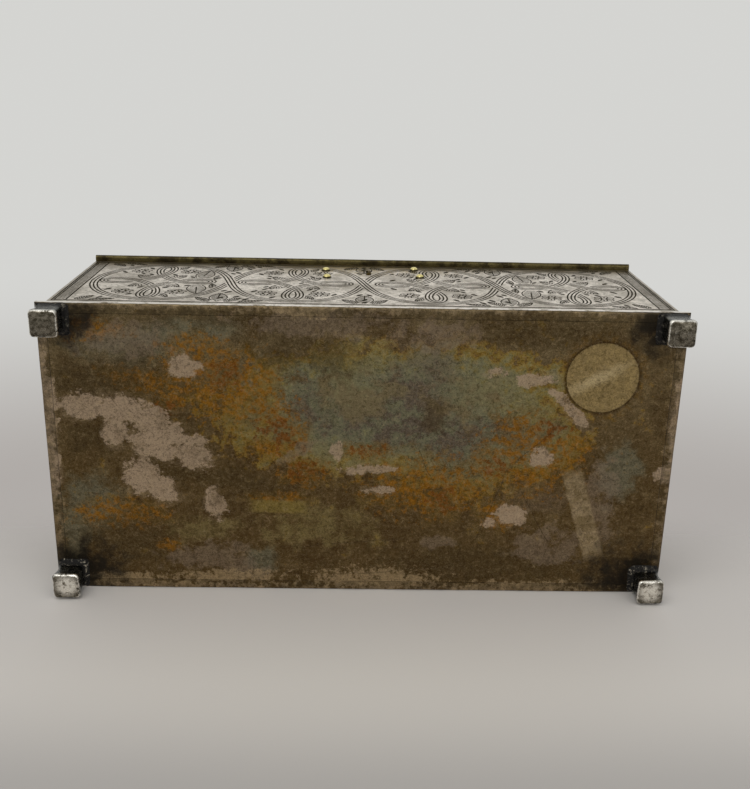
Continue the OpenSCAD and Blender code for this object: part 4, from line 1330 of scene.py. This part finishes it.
class CHEST_OT_engraved_shell(bpy.types.Operator):
    """Cuts the strapwork into the walls and the lid"""

    bl_idname = "chest.engraved_shell"
    bl_label = "Engraved shell"

    def execute(self, context):
        sizes = context.scene.chest_sizes
        front_y, back_y = low("front_panel").y, high("back_panel").y
        left_x, right_x = low("left_panel").x, high("right_panel").x
        wide = plain_run("front_panel", 0)
        deep = plain_run("left_panel", 1)
        rise = plain_run("front_panel", 2)
        field = (rise[0] + FIELD_FOOT, rise[1])
        back_rise = (rise[0], AXIS_Z - math.sqrt(RELIEF ** 2 - (back_y - AXIS_Y) ** 2))

        def base_lines(span):
            """Two lines that run along the foot of a wall."""
            return [(np.array([(span[0] + 1, v), (span[1] - 1, v)]), sizes.line_w / MM)
                    for v in (rise[0] + up for up in FOOT_LINES)]

        front = panel_frame(X, Z, Vector((0, front_y, 0)))
        engraved_sheet("front_engraved", rectangle(wide, rise),
                       strapwork(wide, field, sizes) + base_lines(wide), front, sizes, "chest",
                       "front_panel", [keyhole_outline()])
        back = panel_frame(-X, Z, Vector((0, back_y, 0)))
        engraved_sheet("back_engraved", rectangle(wide, back_rise),
                       strapwork(wide, (field[0], field[1] - HINGE_ROOM), sizes) + base_lines(wide), back,
                       sizes, "chest", "back_panel")
        right = panel_frame(Y, Z, Vector((right_x, 0, 0)))
        engraved_sheet("right_engraved", notched(deep, rise, AXIS_Y, AXIS_Z),
                       strapwork(deep, field, sizes) + base_lines(deep), right, sizes, "chest",
                       "right_panel")
        left = panel_frame(-Y, Z, Vector((left_x, 0, 0)))
        flipped = (-deep[1], -deep[0])
        outline = [(-u, v) for u, v in notched(deep, rise, AXIS_Y, AXIS_Z)][::-1]
        engraved_sheet("left_engraved", outline,
                       strapwork(flipped, field, sizes) + base_lines(flipped), left, sizes,
                       "chest", "left_panel")
        self.lid(sizes, wide, deep, front_y, back_y, left_x, right_x)
        return {"FINISHED"}

    def lid(self, sizes, wide, deep, front_y, back_y, left_x, right_x):
        """The lid's top and its four edges."""
        top = panel_frame(X, Y, Vector((0, 0, high("lid_top").z)))
        span = plain_run("lid_top", 1)
        engraved_sheet("lid_top_engraved", rectangle(wide, span),
                       strapwork(wide, span, sizes, rows=2), top, sizes, "lid", "lid_top")
        rise = plain_run("lid_skirt_front", 2)
        place = panel_frame(X, Z, Vector((0, front_y, 0)))
        engraved_sheet("lid_front_engraved", rectangle(wide, rise),
                       trellis(wide, (rise[0] + LID_FOOT, rise[1]), sizes), place, sizes, "lid",
                       "lid_skirt_front")
        back_rise = (AXIS_Z + math.sqrt(RELIEF ** 2 - (back_y - AXIS_Y) ** 2), rise[1])
        place = panel_frame(-X, Z, Vector((0, back_y, 0)))
        engraved_sheet("lid_back_engraved", rectangle(wide, back_rise), [], place, sizes, "lid",
                       "lid_skirt_back")
        place = panel_frame(Y, Z, Vector((right_x, 0, 0)))
        engraved_sheet("lid_right_engraved", notched(deep, rise, AXIS_Y, AXIS_Z),
                       trellis(deep, (rise[0] + SIDE_FOOT, rise[1]), sizes), place, sizes, "lid",
                       "lid_skirt_right")
        place = panel_frame(-Y, Z, Vector((left_x, 0, 0)))
        outline = [(-u, v) for u, v in notched(deep, rise, AXIS_Y, AXIS_Z)][::-1]
        engraved_sheet("lid_left_engraved", outline,
                       trellis((-deep[1], -deep[0]), (rise[0] + SIDE_FOOT, rise[1]), sizes), place,
                       sizes, "lid", "lid_skirt_left")


def jitter(x, y, z, reach, scale=60.0):
    """A smooth random shift of a point, in metres."""
    spot = Vector((x, y, z)) * scale
    return noise.noise_vector(spot) * reach


# Section of the rim, from its outer face inwards and up, in millimetres
RIM_PROFILE = [
    (0.0, 0.9), (0.07, 0.5), (0.28, 0.2), (0.6, 0.04), (0.9, 0.0), (4.5, 0.0), (4.5, 1.4),
    (2.0, 1.4), (2.0, 4.0), (1.25, 4.0), (0.7, 3.8), (0.25, 3.3), (0.03, 2.6)]


def rim_bar(length, depth, turn, dent):
    """One mitred side of the base rim, drawn for the front and turned."""
    steps = int(length / 4)
    stations = [i / steps for i in range(steps + 1)]

    def place_of(point, t):
        inward, up = point
        half = length / 2 - inward
        x = (-half + 2 * half * t) * MM
        y = (-depth / 2 + inward) * MM
        z = (BASE_Z + up) * MM
        free = 1.0 if inward < 1.9 else 0.0
        shift = jitter(x, turn * 7.0, 0.0, dent) * free * (0 if t in (0, 1) else 1)
        return Vector((x, y + abs(shift.y), z + 0.4 * shift.z))

    bm = bmesh.new()
    rings = []
    for t in stations:
        rings.append([bm.verts.new(place_of(p, t)) for p in RIM_PROFILE])
        if len(rings) > 1:
            for n in range(len(RIM_PROFILE)):
                m = (n + 1) % len(RIM_PROFILE)
                bm.faces.new((rings[-2][n], rings[-2][m], rings[-1][m], rings[-1][n]))
    bm.faces.new(rings[0])
    bm.faces.new(rings[-1][::-1])
    bmesh.ops.recalc_face_normals(bm, faces=bm.faces)
    bm.transform(Matrix.Translation((0, MID_Y * MM, 0)) @ Matrix.Rotation(math.radians(turn), 4, "Z"))
    return bm


# The plate's edge: how far its last step reaches out, and how high that step is
SEAM_OUT = 0.14
SEAM_UP = 0.35


class CHEST_OT_base(bpy.types.Operator):
    """Makes the stained bottom plate and the worn rim round it"""

    bl_idname = "chest.base"
    bl_label = "Bottom plate and rim"

    def execute(self, context):
        dent = context.scene.chest_sizes.dent
        wide = high("base_rim_front").x - low("base_rim_front").x
        deep = high("base_rim_back").y - low("base_rim_front").y
        for side, turn, length, depth in (
                ("front", 0, wide, deep), ("back", 180, wide, deep), ("left", -90, deep, wide),
                ("right", 90, deep, wide)):
            bm = rim_bar(length, depth, turn, dent)
            finished(bm, f"rim_{side}", "chest",
                     ("underside_rim",), (f"base_rim_{side}",))
        self.plate(dent)
        return {"FINISHED"}

    def plate(self, dent):
        """The plate: gently uneven, with its edge dressed down into a seam."""
        low_corner, high_corner = low("bottom_plate"), high("bottom_plate")
        wide, deep = high_corner.x - low_corner.x, high_corner.y - low_corner.y
        bm = bmesh.new()
        bmesh.ops.create_grid(bm, x_segments=110, y_segments=52, size=0.5)
        bmesh.ops.scale(bm, verts=bm.verts, vec=((wide - 2 * SEAM_OUT) * MM, (deep - 2 * SEAM_OUT) * MM, 1))
        bmesh.ops.translate(bm, verts=bm.verts, vec=(0, MID_Y * MM, BASE_Z * MM))
        for vert in bm.verts:
            if vert.is_boundary:
                continue
            reach = min(1.0, (wide / 2 - abs(vert.co.x) / MM) / 12,
                        (deep / 2 - abs(vert.co.y / MM - MID_Y)) / 12)
            wave = noise.noise(vert.co * 22) + 0.4 * noise.noise(vert.co * 70)
            vert.co.z += abs(wave) * 1.6 * dent * reach
        edges = [e for e in bm.edges if e.is_boundary]
        for grow, lift in ((SEAM_OUT, SEAM_UP), (0, high_corner.z - low_corner.z - SEAM_UP)):
            out = bmesh.ops.extrude_edge_only(bm, edges=edges)
            verts = [g for g in out["geom"] if isinstance(g, bmesh.types.BMVert)]
            for vert in verts:
                vert.co.x += math.copysign(grow * MM, vert.co.x) if abs(
                    abs(vert.co.x) - (wide / 2 - SEAM_OUT) * MM) < 1e-6 else 0
                off = vert.co.y - MID_Y * MM
                vert.co.y += math.copysign(grow * MM, off) if abs(
                    abs(off) - (deep / 2 - SEAM_OUT) * MM) < 1e-6 else 0
                vert.co.z += lift * MM
            edges = [g for g in out["geom"] if isinstance(g, bmesh.types.BMEdge) and g.is_boundary]
        bmesh.ops.edgenet_fill(bm, edges=edges)
        bmesh.ops.recalc_face_normals(bm, faces=bm.faces)
        finished(bm, "underside_plate", "chest", ("underside",),
                 ("bottom_plate",))


# Foot from the ground up: height and half width in millimetres, before the foot's own size
FOOT_STEPS = [
    (0.0, 4.95), (0.22, 5.4), (0.6, 5.78), (1.1, 5.97), (1.8, 6.0), (2.8, 5.88), (4.2, 5.66),
    (6.0, 5.46), (7.8, 5.38), (9.2, 5.46), (10.3, 5.7), (10.9, 5.92), (11.3, 6.0)]
FOOT_ROUND = 1.8
FOOT_HALF = 6.0
# Solder from the block to the plate: drop below the plate and half width in millimetres
SOLDER_STEPS = [(1.4, 5.6), (0.9, 6.0), (0.45, 6.6), (-0.3, 7.4)]
SOLDER_START = 5.3


def rounded_square(bm, half, round_r, z):
    """A flat square with bevelled corners, as one face."""
    made = bmesh.ops.create_circle(bm, segments=4, radius=half * math.sqrt(2), cap_ends=True)
    bmesh.ops.rotate(bm, verts=made["verts"], matrix=Matrix.Rotation(math.pi / 4, 3, "Z"))
    bmesh.ops.bevel(bm, geom=made["verts"], offset=round_r, segments=4, profile=0.5,
                    affect="VERTICES", material=-1)
    bmesh.ops.translate(bm, verts=bm.verts, vec=(0, 0, z))
    return bm.faces[:][0]


class CHEST_OT_feet(bpy.types.Operator):
    """Models the four worn block feet and the solder round their roots"""

    bl_idname = "chest.feet"
    bl_label = "Feet"

    def execute(self, context):
        dent = context.scene.chest_sizes.dent
        for number, node in enumerate(
                ("foot_front_left", "foot_front_right", "foot_back_left", "foot_back_right")):
            centre = self.corner(node)
            self.block(node, centre, dent, number)
            self.solder(node, centre, number)
        return {"FINISHED"}

    def corner(self, node):
        """Middle of the block, in millimetres: the flange only widens it towards the middle."""
        lo, hi = low(node), high(node)
        x = lo.x + FOOT_HALF if lo.x < 0 else hi.x - FOOT_HALF
        y = lo.y + FOOT_HALF if lo.y < 0 else hi.y - FOOT_HALF
        return Vector((x, y, 0))

    def block(self, node, centre, dent, number):
        """One foot: stacked square sections, then lightly hammered."""
        top = high(node).z
        bm = bmesh.new()
        face = rounded_square(bm, FOOT_STEPS[0][1], FOOT_ROUND * 0.8, 0)
        last = FOOT_STEPS[0][1]
        for height, half in FOOT_STEPS[1:] + [(top, FOOT_HALF)]:
            out = bmesh.ops.extrude_face_region(bm, geom=[face])
            face_new = [g for g in out["geom"] if isinstance(g, bmesh.types.BMFace)][0]
            verts = list(face_new.verts)
            lift = height - verts[0].co.z
            bmesh.ops.translate(bm, verts=verts, vec=(0, 0, lift))
            bmesh.ops.scale(bm, verts=verts, vec=(half / last, half / last, 1))
            if face.is_valid and abs(face.verts[0].co.z) > 1e-6:
                bmesh.ops.delete(bm, geom=[face], context="FACES_ONLY")
            face, last = face_new, half
        bmesh.ops.subdivide_edges(
            bm, edges=[e for e in bm.edges if e.calc_length() > 3], cuts=3, use_grid_fill=True)
        turn = random.Random(11 + number)
        lean = Matrix.Rotation(math.radians(turn.uniform(-1.2, 1.2)), 3, "Z")
        bmesh.ops.rotate(bm, verts=bm.verts, matrix=lean)
        for vert in bm.verts:
            spot = vert.co * 0.33 + Vector((number * 9.0, 3, 1))
            push = noise.noise(spot) * dent / MM * 0.9
            inward = -vert.co.normalized() * abs(push)
            vert.co.x = max(-FOOT_HALF, min(FOOT_HALF, vert.co.x + inward.x))
            vert.co.y = max(-FOOT_HALF, min(FOOT_HALF, vert.co.y + inward.y))
        bmesh.ops.recalc_face_normals(bm, faces=bm.faces)
        bmesh.ops.translate(bm, verts=bm.verts, vec=centre)
        bmesh.ops.scale(bm, verts=bm.verts, vec=(MM, MM, MM))
        finished(bm, node.replace("foot", "block"), "chest", ("block_silver",),
                 (node,))

    def solder(self, node, centre, number):
        """A lumpy fillet between the block and the plate."""
        bm = bmesh.new()
        face = rounded_square(bm, SOLDER_START, FOOT_ROUND, BASE_Z - 2.0)
        last = SOLDER_START
        for drop, half in SOLDER_STEPS:
            out = bmesh.ops.extrude_face_region(bm, geom=[face])
            face_new = [g for g in out["geom"] if isinstance(g, bmesh.types.BMFace)][0]
            verts = list(face_new.verts)
            bmesh.ops.translate(bm, verts=verts, vec=(0, 0, BASE_Z - drop - verts[0].co.z))
            bmesh.ops.scale(bm, verts=verts, vec=(half / last, half / last, 1))
            face, last = face_new, half
        bmesh.ops.subdivide_edges(bm, edges=bm.edges, cuts=2, use_grid_fill=True)
        for vert in bm.verts:
            lump = noise.noise(vert.co * 0.7 + Vector((number * 5.0, 1, 2)))
            vert.co.x *= 1 + 0.10 * lump
            vert.co.y *= 1 + 0.10 * lump
            if vert.co.z < BASE_Z - 0.1:
                vert.co.z += 0.35 * lump
        bmesh.ops.recalc_face_normals(bm, faces=bm.faces)
        sign_x = math.copysign(1, centre.x)
        sign_y = math.copysign(1, centre.y)
        bmesh.ops.translate(bm, verts=bm.verts, vec=centre + Vector((-sign_x, -sign_y, 0)) * 0.9)
        for vert in bm.verts:
            vert.co.x = sign_x * min(sign_x * vert.co.x, abs(centre.x) + FOOT_HALF + 0.2)
            reach = abs(centre.y) + FOOT_HALF + 0.2
            vert.co.y = sign_y * min(sign_y * vert.co.y, reach)
        bmesh.ops.scale(bm, verts=bm.verts, vec=(MM, MM, MM))
        finished(bm, node.replace("foot", "solder"), "chest", ("solder",))


class CHEST_OT_lip(bpy.types.Operator):
    """Models the lifting lip along the lid's front edge"""

    bl_idname = "chest.lip"
    bl_label = "Lifting lip"

    def execute(self, context):
        dent = context.scene.chest_sizes.dent
        lo, hi = low("lifting_lip"), high("lifting_lip")
        thick, out = hi.z - lo.z, hi.y - lo.y
        nose = thick / 2
        outline = [(0.0, 0.0)]
        for n in range(9):
            a = -math.pi / 2 - math.pi * n / 8
            outline.append((-out + nose + nose * math.cos(a), nose + nose * math.sin(a)))
        outline.append((0.0, thick))
        steps = 70
        bm = bmesh.new()
        rings = []
        for i in range(steps + 1):
            x = lo.x + (hi.x - lo.x) * i / steps
            ring = []
            for depth, up in outline:
                shift = jitter(x * MM, 3.0, 0.0, dent, 40.0) / MM
                free = min(1.0, -depth / out)
                y = hi.y + depth + abs(shift.y) * free
                z = lo.z + up + shift.z * free * 0.8 + 0.12
                ring.append(bm.verts.new((x * MM, y * MM, max(z, lo.z) * MM)))
            rings.append(ring)
            if i:
                for n in range(len(outline)):
                    m = (n + 1) % len(outline)
                    bm.faces.new((rings[-2][n], rings[-2][m], rings[-1][m], rings[-1][n]))
        bm.faces.new(rings[0])
        bm.faces.new(rings[-1][::-1])
        bmesh.ops.recalc_face_normals(bm, faces=bm.faces)
        finished(bm, "lip", "lid", ("lip_silver",), ("lifting_lip",))
        return {"FINISHED"}


# Half section of a stud: radius, and depth behind the front panel's face, in millimetres
STUD_PROFILE = [
    (0, -1.78), (0.75, -1.68), (1.45, -1.3), (1.95, -0.72), (2.25, -0.12), (2.3, 0.0),
    (1.1, 0.02), (1.1, 2.2), (1.6, 2.2), (1.6, 2.7), (0, 2.7)]


class CHEST_OT_rivets(bpy.types.Operator):
    """Models the four hand-set brass studs that hold the lock"""

    bl_idname = "chest.rivets"
    bl_label = "Lock rivets"

    def execute(self, context):
        bm = bmesh.new()
        for number, centre in enumerate(self.centres()):
            self.stud(bm, centre, number)
        bmesh.ops.remove_doubles(bm, verts=bm.verts, dist=1e-6)
        bmesh.ops.recalc_face_normals(bm, faces=bm.faces)
        finished(bm, "lock_studs", "chest", ("stud_brass",), ("lock_rivets",))
        return {"FINISHED"}

    def centres(self):
        """Middles of the studs: one for each separate solid of the node, by its nearness."""
        points = [v.co / MM for v in frame["nodes"]["lock_rivets"].data.vertices]
        groups = []
        for point in points:
            flat = Vector((point.x, point.z))
            for group in groups:
                if (group[0] - flat).length < 8:
                    group.append(flat)
                    break
            else:
                groups.append([flat])
        made = []
        for group in groups:
            xs, zs = [p.x for p in group], [p.y for p in group]
            made.append(((min(xs) + max(xs)) / 2, (min(zs) + max(zs)) / 2))
        return sorted(made)

    def stud(self, bm, centre, number):
        """Domed head outside, a shank, and a flat head inside, spun about the stud's axis."""
        front = low("front_panel").y
        start = Vector((centre[0], 0, centre[1]))
        verts = [bm.verts.new((start + Vector((r, front + out, 0))) * MM) for r, out in STUD_PROFILE]
        edges = [bm.edges.new(pair) for pair in zip(verts, verts[1:])]
        bmesh.ops.spin(
            bm, geom=verts + edges, cent=start * MM, axis=(0, 1, 0), angle=2 * math.pi, steps=24,
            use_merge=True)
        near = [v for v in bm.verts if (Vector((v.co.x, v.co.z)) / MM - Vector(centre)).length < 3]
        for vert in near:
            if vert.co.y < (front - 0.3) * MM:
                dimple = noise.noise(vert.co / MM * 0.9 + Vector((number * 4.0, 0, 0)))
                vert.co.y += abs(dimple) * 0.22 * MM
                vert.co.x += dimple * 0.12 * MM


class CHEST_OT_baize(bpy.types.Operator):
    """Lays the green baize in the well and in the lid"""

    bl_idname = "chest.baize"
    bl_label = "Baize"

    def execute(self, context):
        self.cloth("well_baize", "floor_baize", "chest", "floor_board", 1)
        self.cloth("lid_cloth", "lid_baize", "lid", "lid_board", -1)
        return {"FINISHED"}

    def cloth(self, name, node, body, rests_on, up):
        """A thin napped sheet whose face is a little uneven and whose edge is soft."""
        lo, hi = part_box(node)
        size = hi - lo
        bm = bmesh.new()
        bmesh.ops.create_grid(bm, x_segments=90, y_segments=40, size=0.5)
        bmesh.ops.scale(bm, verts=bm.verts, vec=(size.x - 0.8 * MM, size.y - 0.8 * MM, 1))
        face_z = hi.z if up > 0 else lo.z
        back_z = lo.z if up > 0 else hi.z
        bmesh.ops.translate(bm, verts=bm.verts, vec=((lo.x + hi.x) / 2, (lo.y + hi.y) / 2, face_z))
        for vert in bm.verts:
            vert.co.z -= up * (0.1 + 0.18 * abs(noise.noise(vert.co * 55))) * MM
        edges = [e for e in bm.edges if e.is_boundary]
        middle = (lo + hi) / 2
        for grow in (0.3 * MM, 0.0):
            out = bmesh.ops.extrude_edge_only(bm, edges=edges)
            verts = [g for g in out["geom"] if isinstance(g, bmesh.types.BMVert)]
            for vert in verts:
                for axis in (0, 1):
                    half = size[axis] / 2 - 0.41 * MM
                    off = vert.co[axis] - middle[axis]
                    if grow and abs(off) > half:
                        vert.co[axis] += math.copysign(grow, off)
                vert.co.z = vert.co.z - up * 0.3 * MM if grow else back_z
            edges = [g for g in out["geom"] if isinstance(g, bmesh.types.BMEdge) and g.is_boundary]
        bmesh.ops.edgenet_fill(bm, edges=edges)
        bmesh.ops.recalc_face_normals(bm, faces=bm.faces)
        piece = finished(bm, name, body, ("green_baize",), (node,))


CAD_FINISHES = {
    "dull_brass": ("hinge_body_leaf", "hinge_lid_leaf", "hinge_pin", "hinge_body_rivets",
                   "hinge_lid_rivets", "lock_case", "lock_cap", "cap_screws", "key_post",
                   "lock_bolt", "strike_plate", "strike_screws"),
    "blued_steel": ("bolt_spring",),
    "cedar_x": ("floor_board", "front_board", "back_board", "lid_board", "lid_front_rail"),
    "cedar_y": ("left_board", "right_board", "rack_left", "rack_right")}


class CHEST_OT_finishes(bpy.types.Operator):
    """Gives the frame's own metal and wood parts their finishes"""

    bl_idname = "chest.finishes"
    bl_label = "Hinge, lock and lining"

    def execute(self, context):
        for material, nodes in CAD_FINISHES.items():
            for node in nodes:
                mesh = frame["nodes"][node].data
                mesh.materials.clear()
                mesh.materials.append(finish_of(material))
        return {"FINISHED"}


class CHEST_OT_materials(bpy.types.Operator):
    """Builds the node groups and every material"""

    bl_idname = "chest.materials"
    bl_label = "Materials"

    def execute(self, context):
        build_materials(context.scene.chest_colours)
        return {"FINISHED"}


# Camera of the photograph: it looks up at the underside, in millimetres and unit vectors
CAMERA_AT = Vector((-3.9, -170.4, -402.6))
CAMERA_RIGHT = Vector((0.99968, -0.02077, -0.01466))
CAMERA_DOWN = Vector((0.01490, 0.94584, -0.32430))
CAMERA_LENS = 45.63
# Lamps: name, place and aim in millimetres, side in millimetres, power in watts
LAMPS = [
    ("key", (-240, -760, -430), (0, 60, -10), 620, 2.2),
    ("fill", (460, -420, -620), (0, 0, 50), 500, 1.2),
    ("top", (120, -260, 900), (0, 0, 60), 700, 0.25)]

BACKDROP_SHADE = (0.43, 0.405, 0.385)
WORLD_LIGHT = (0.60, 0.60, 0.60)
# Floor colours: painted shade farther below the chest, and a painted pool of light just below it.
FLOOR_FALLOFF_SHADE = (0.42, 0.40, 0.375)
FLOOR_LIGHT_POOL = (0.68, 0.64, 0.56)


class CHEST_OT_stage(bpy.types.Operator):
    """Makes the camera, the lamps, the world and the pale floors"""

    bl_idname = "chest.stage"
    bl_label = "Stage"

    def execute(self, context):
        scene = context.scene
        scene.view_settings.view_transform = "Standard"
        self.camera(scene)
        for name, at, aim, size, power in LAMPS:
            self.lamp(scene, name, Vector(at) * MM, Vector(aim) * MM, size * MM, power)
        self.world(scene)
        self.wall(scene)
        self.ground(scene)
        return {"FINISHED"}

    def camera(self, scene):
        data = bpy.data.cameras.new("camera")
        data.lens = CAMERA_LENS
        data.clip_start = 0.01
        camera = bpy.data.objects.new("camera", data)
        scene.collection.objects.link(camera)
        right, down = CAMERA_RIGHT.normalized(), CAMERA_DOWN.normalized()
        back = right.cross(-down)
        camera.matrix_world = Matrix.Translation(CAMERA_AT * MM) @ Matrix(
            (right, -down, back)).transposed().to_4x4()
        scene.camera = camera

    def lamp(self, scene, name, at, aim, size, power):
        data = bpy.data.lights.new(name, "AREA")
        data.shape = "SQUARE"
        data.size = size
        data.energy = power
        lamp = bpy.data.objects.new(name, data)
        lamp.location = at
        lamp.rotation_mode = "QUATERNION"
        lamp.rotation_quaternion = (aim - at).to_track_quat("-Z", "Y")
        scene.collection.objects.link(lamp)

    def world(self, scene):
        """Pale backdrop for what looks at it, and softer light for what it falls on."""
        world = bpy.data.worlds.new("studio")
        world.use_nodes = True
        scene.world = world
        sheet = Sheet(world.node_tree)
        colours = scene.chest_colours
        background = world.node_tree.nodes["Background"]
        path = sheet.node("ShaderNodeLightPath").outputs
        seen = sheet.highest([path["Is Camera Ray"], path["Is Glossy Ray"],
                              path["Is Transmission Ray"]])
        along = sheet.node("ShaderNodeTexCoord").outputs["Generated"]
        parts = sheet.node("ShaderNodeSeparateXYZ", {0: along}).outputs
        low_down = sheet.ramp(parts[1], 0.2, 0.39)
        far_up = sheet.ramp(parts[2], 0.7, 0.85)
        shade = sheet.math("MULTIPLY", low_down, far_up)
        backdrop = sheet.mix(shade, colours.backdrop, BACKDROP_SHADE)
        sheet.feed(background.inputs["Color"], sheet.mix(seen, WORLD_LIGHT, backdrop))

    def plane(self, scene, name, corners):
        bm = bmesh.new()
        bm.faces.new([bm.verts.new(Vector(c) * MM) for c in corners])
        mesh = bpy.data.meshes.new(name)
        bm.to_mesh(mesh)
        bm.free()
        made = bpy.data.objects.new(name, mesh)
        scene.collection.objects.link(made)
        return made

    def floor_material(self, scene, name, fade):
        """Pale floor that only faces one way, and fades where fade says so. Painted shade darkens it
        farther below the chest, and a painted pool of light brightens it just below the chest.
        """
        material = bpy.data.materials.new(name)
        material.use_nodes = True
        sheet = Sheet(material.node_tree)
        shader = material.node_tree.nodes["Principled BSDF"]
        out = material.node_tree.nodes["Material Output"]
        place = sheet.node("ShaderNodeTexCoord").outputs["Object"]
        point = sheet.vector("SCALE", place, scale=1 / MM)
        parts = sheet.node("ShaderNodeSeparateXYZ", {0: point}).outputs
        # Painted shade: the floor darkens farther below the chest.
        near = sheet.ramp(parts[2], -55, -135)
        # Painted pool of light just below the chest.
        light_pool = sheet.group("Spot", Point=sheet.node(
            "ShaderNodeCombineXYZ", {0: parts[0], 1: parts[2]}).outputs[0], Centre=(0, -62, 0),
            Size=(150, 34, 1), Soft=0.95)
        shade = sheet.mix(near, scene.chest_colours.floor, FLOOR_FALLOFF_SHADE)
        shade = sheet.mix(sheet.math("MULTIPLY", light_pool, 0.35), shade, FLOOR_LIGHT_POOL)
        sheet.feed(shader.inputs["Base Color"], shade)
        shader.inputs["Roughness"].default_value = 0.7
        clear = sheet.node("ShaderNodeBsdfTransparent").outputs[0]
        facing = sheet.node("ShaderNodeNewGeometry").outputs["Backfacing"]
        path = sheet.node("ShaderNodeLightPath").outputs
        hidden = fade(sheet, point, facing, path)
        mixed = sheet.node("ShaderNodeMixShader", {0: hidden, 1: shader.outputs[0], 2: clear})
        sheet.feed(out.inputs["Surface"], mixed.outputs[0])
        return material

    def wall(self, scene):
        """The photograph's floor: the chest lies with its back on it."""
        y = high("base_rim_back").y + 0.3
        far, near = 1600, -900
        half = (high("base_rim_front").x - low("base_rim_front").x) / 2
        top = high("lid_top").z

        def fade(sheet, point, facing, path):
            parts = sheet.node("ShaderNodeSeparateXYZ", {0: point}).outputs
            gone = sheet.ramp(parts[2], 20, top - 10)
            return sheet.highest([gone, facing, path["Is Shadow Ray"]])

        material = self.floor_material(scene, "floor_behind", fade)
        strips = {
            "floor_near": [(-far, y, near), (far, y, near), (far, y, 0), (-far, y, 0)],
            "floor_gap": [(-half, y, 0), (half, y, 0), (half, y, BASE_Z + 1), (-half, y, BASE_Z + 1)],
            "floor_left": [(-far, y, 0), (-half, y, 0), (-half, y, top), (-far, y, top)],
            "floor_right": [(half, y, 0), (far, y, 0), (far, y, top), (half, y, top)]}
        for name, corners in strips.items():
            made = self.plane(scene, name, corners)
            made.data.materials.append(material)

    def ground(self, scene):
        """The floor under the feet, which only a camera above it sees."""
        far = 1600
        made = self.plane(scene, "ground", [(-far, -far, 0), (far, -far, 0), (far, far, 0),
                                            (-far, far, 0)])

        def fade(sheet, point, facing, path):
            seen = path["Is Camera Ray"]
            distance = sheet.vector("LENGTH", point)
            gone = sheet.ramp(distance, 500, 1500)
            return sheet.highest([facing, sheet.math("SUBTRACT", 1.0, seen), gone])

        made.data.materials.append(self.floor_material(scene, "floor_under", fade))


class CHEST_PT_panel(bpy.types.Panel):
    """Sizes, colours and the steps that build the chest"""

    bl_label = "Flatware chest"
    bl_idname = "CHEST_PT_panel"
    bl_space_type = "VIEW_3D"
    bl_region_type = "UI"
    bl_category = "Chest"

    def draw(self, context):
        for group in (context.scene.chest_sizes, context.scene.chest_colours):
            for key in group.__annotations__:
                self.layout.prop(group, key)
        for step in STEPS:
            self.layout.operator(step.bl_idname)


STEPS = (CHEST_OT_materials, CHEST_OT_stage, CHEST_OT_engraved_shell, CHEST_OT_base,
         CHEST_OT_feet, CHEST_OT_lip, CHEST_OT_rivets, CHEST_OT_baize, CHEST_OT_finishes)
CLASSES = (ChestSizes, ChestColours, *STEPS, CHEST_PT_panel)


def register():
    for cls in CLASSES:
        bpy.utils.register_class(cls)
    bpy.types.Scene.chest_sizes = bpy.props.PointerProperty(type=ChestSizes)
    bpy.types.Scene.chest_colours = bpy.props.PointerProperty(type=ChestColours)


def unregister():
    del bpy.types.Scene.chest_colours
    del bpy.types.Scene.chest_sizes
    for cls in reversed(CLASSES):
        bpy.utils.unregister_class(cls)


def main():
    register()
    for step in STEPS:
        group, name = step.bl_idname.split(".")
        getattr(getattr(bpy.ops, group), name)()


if __name__ == "__main__":
    main()
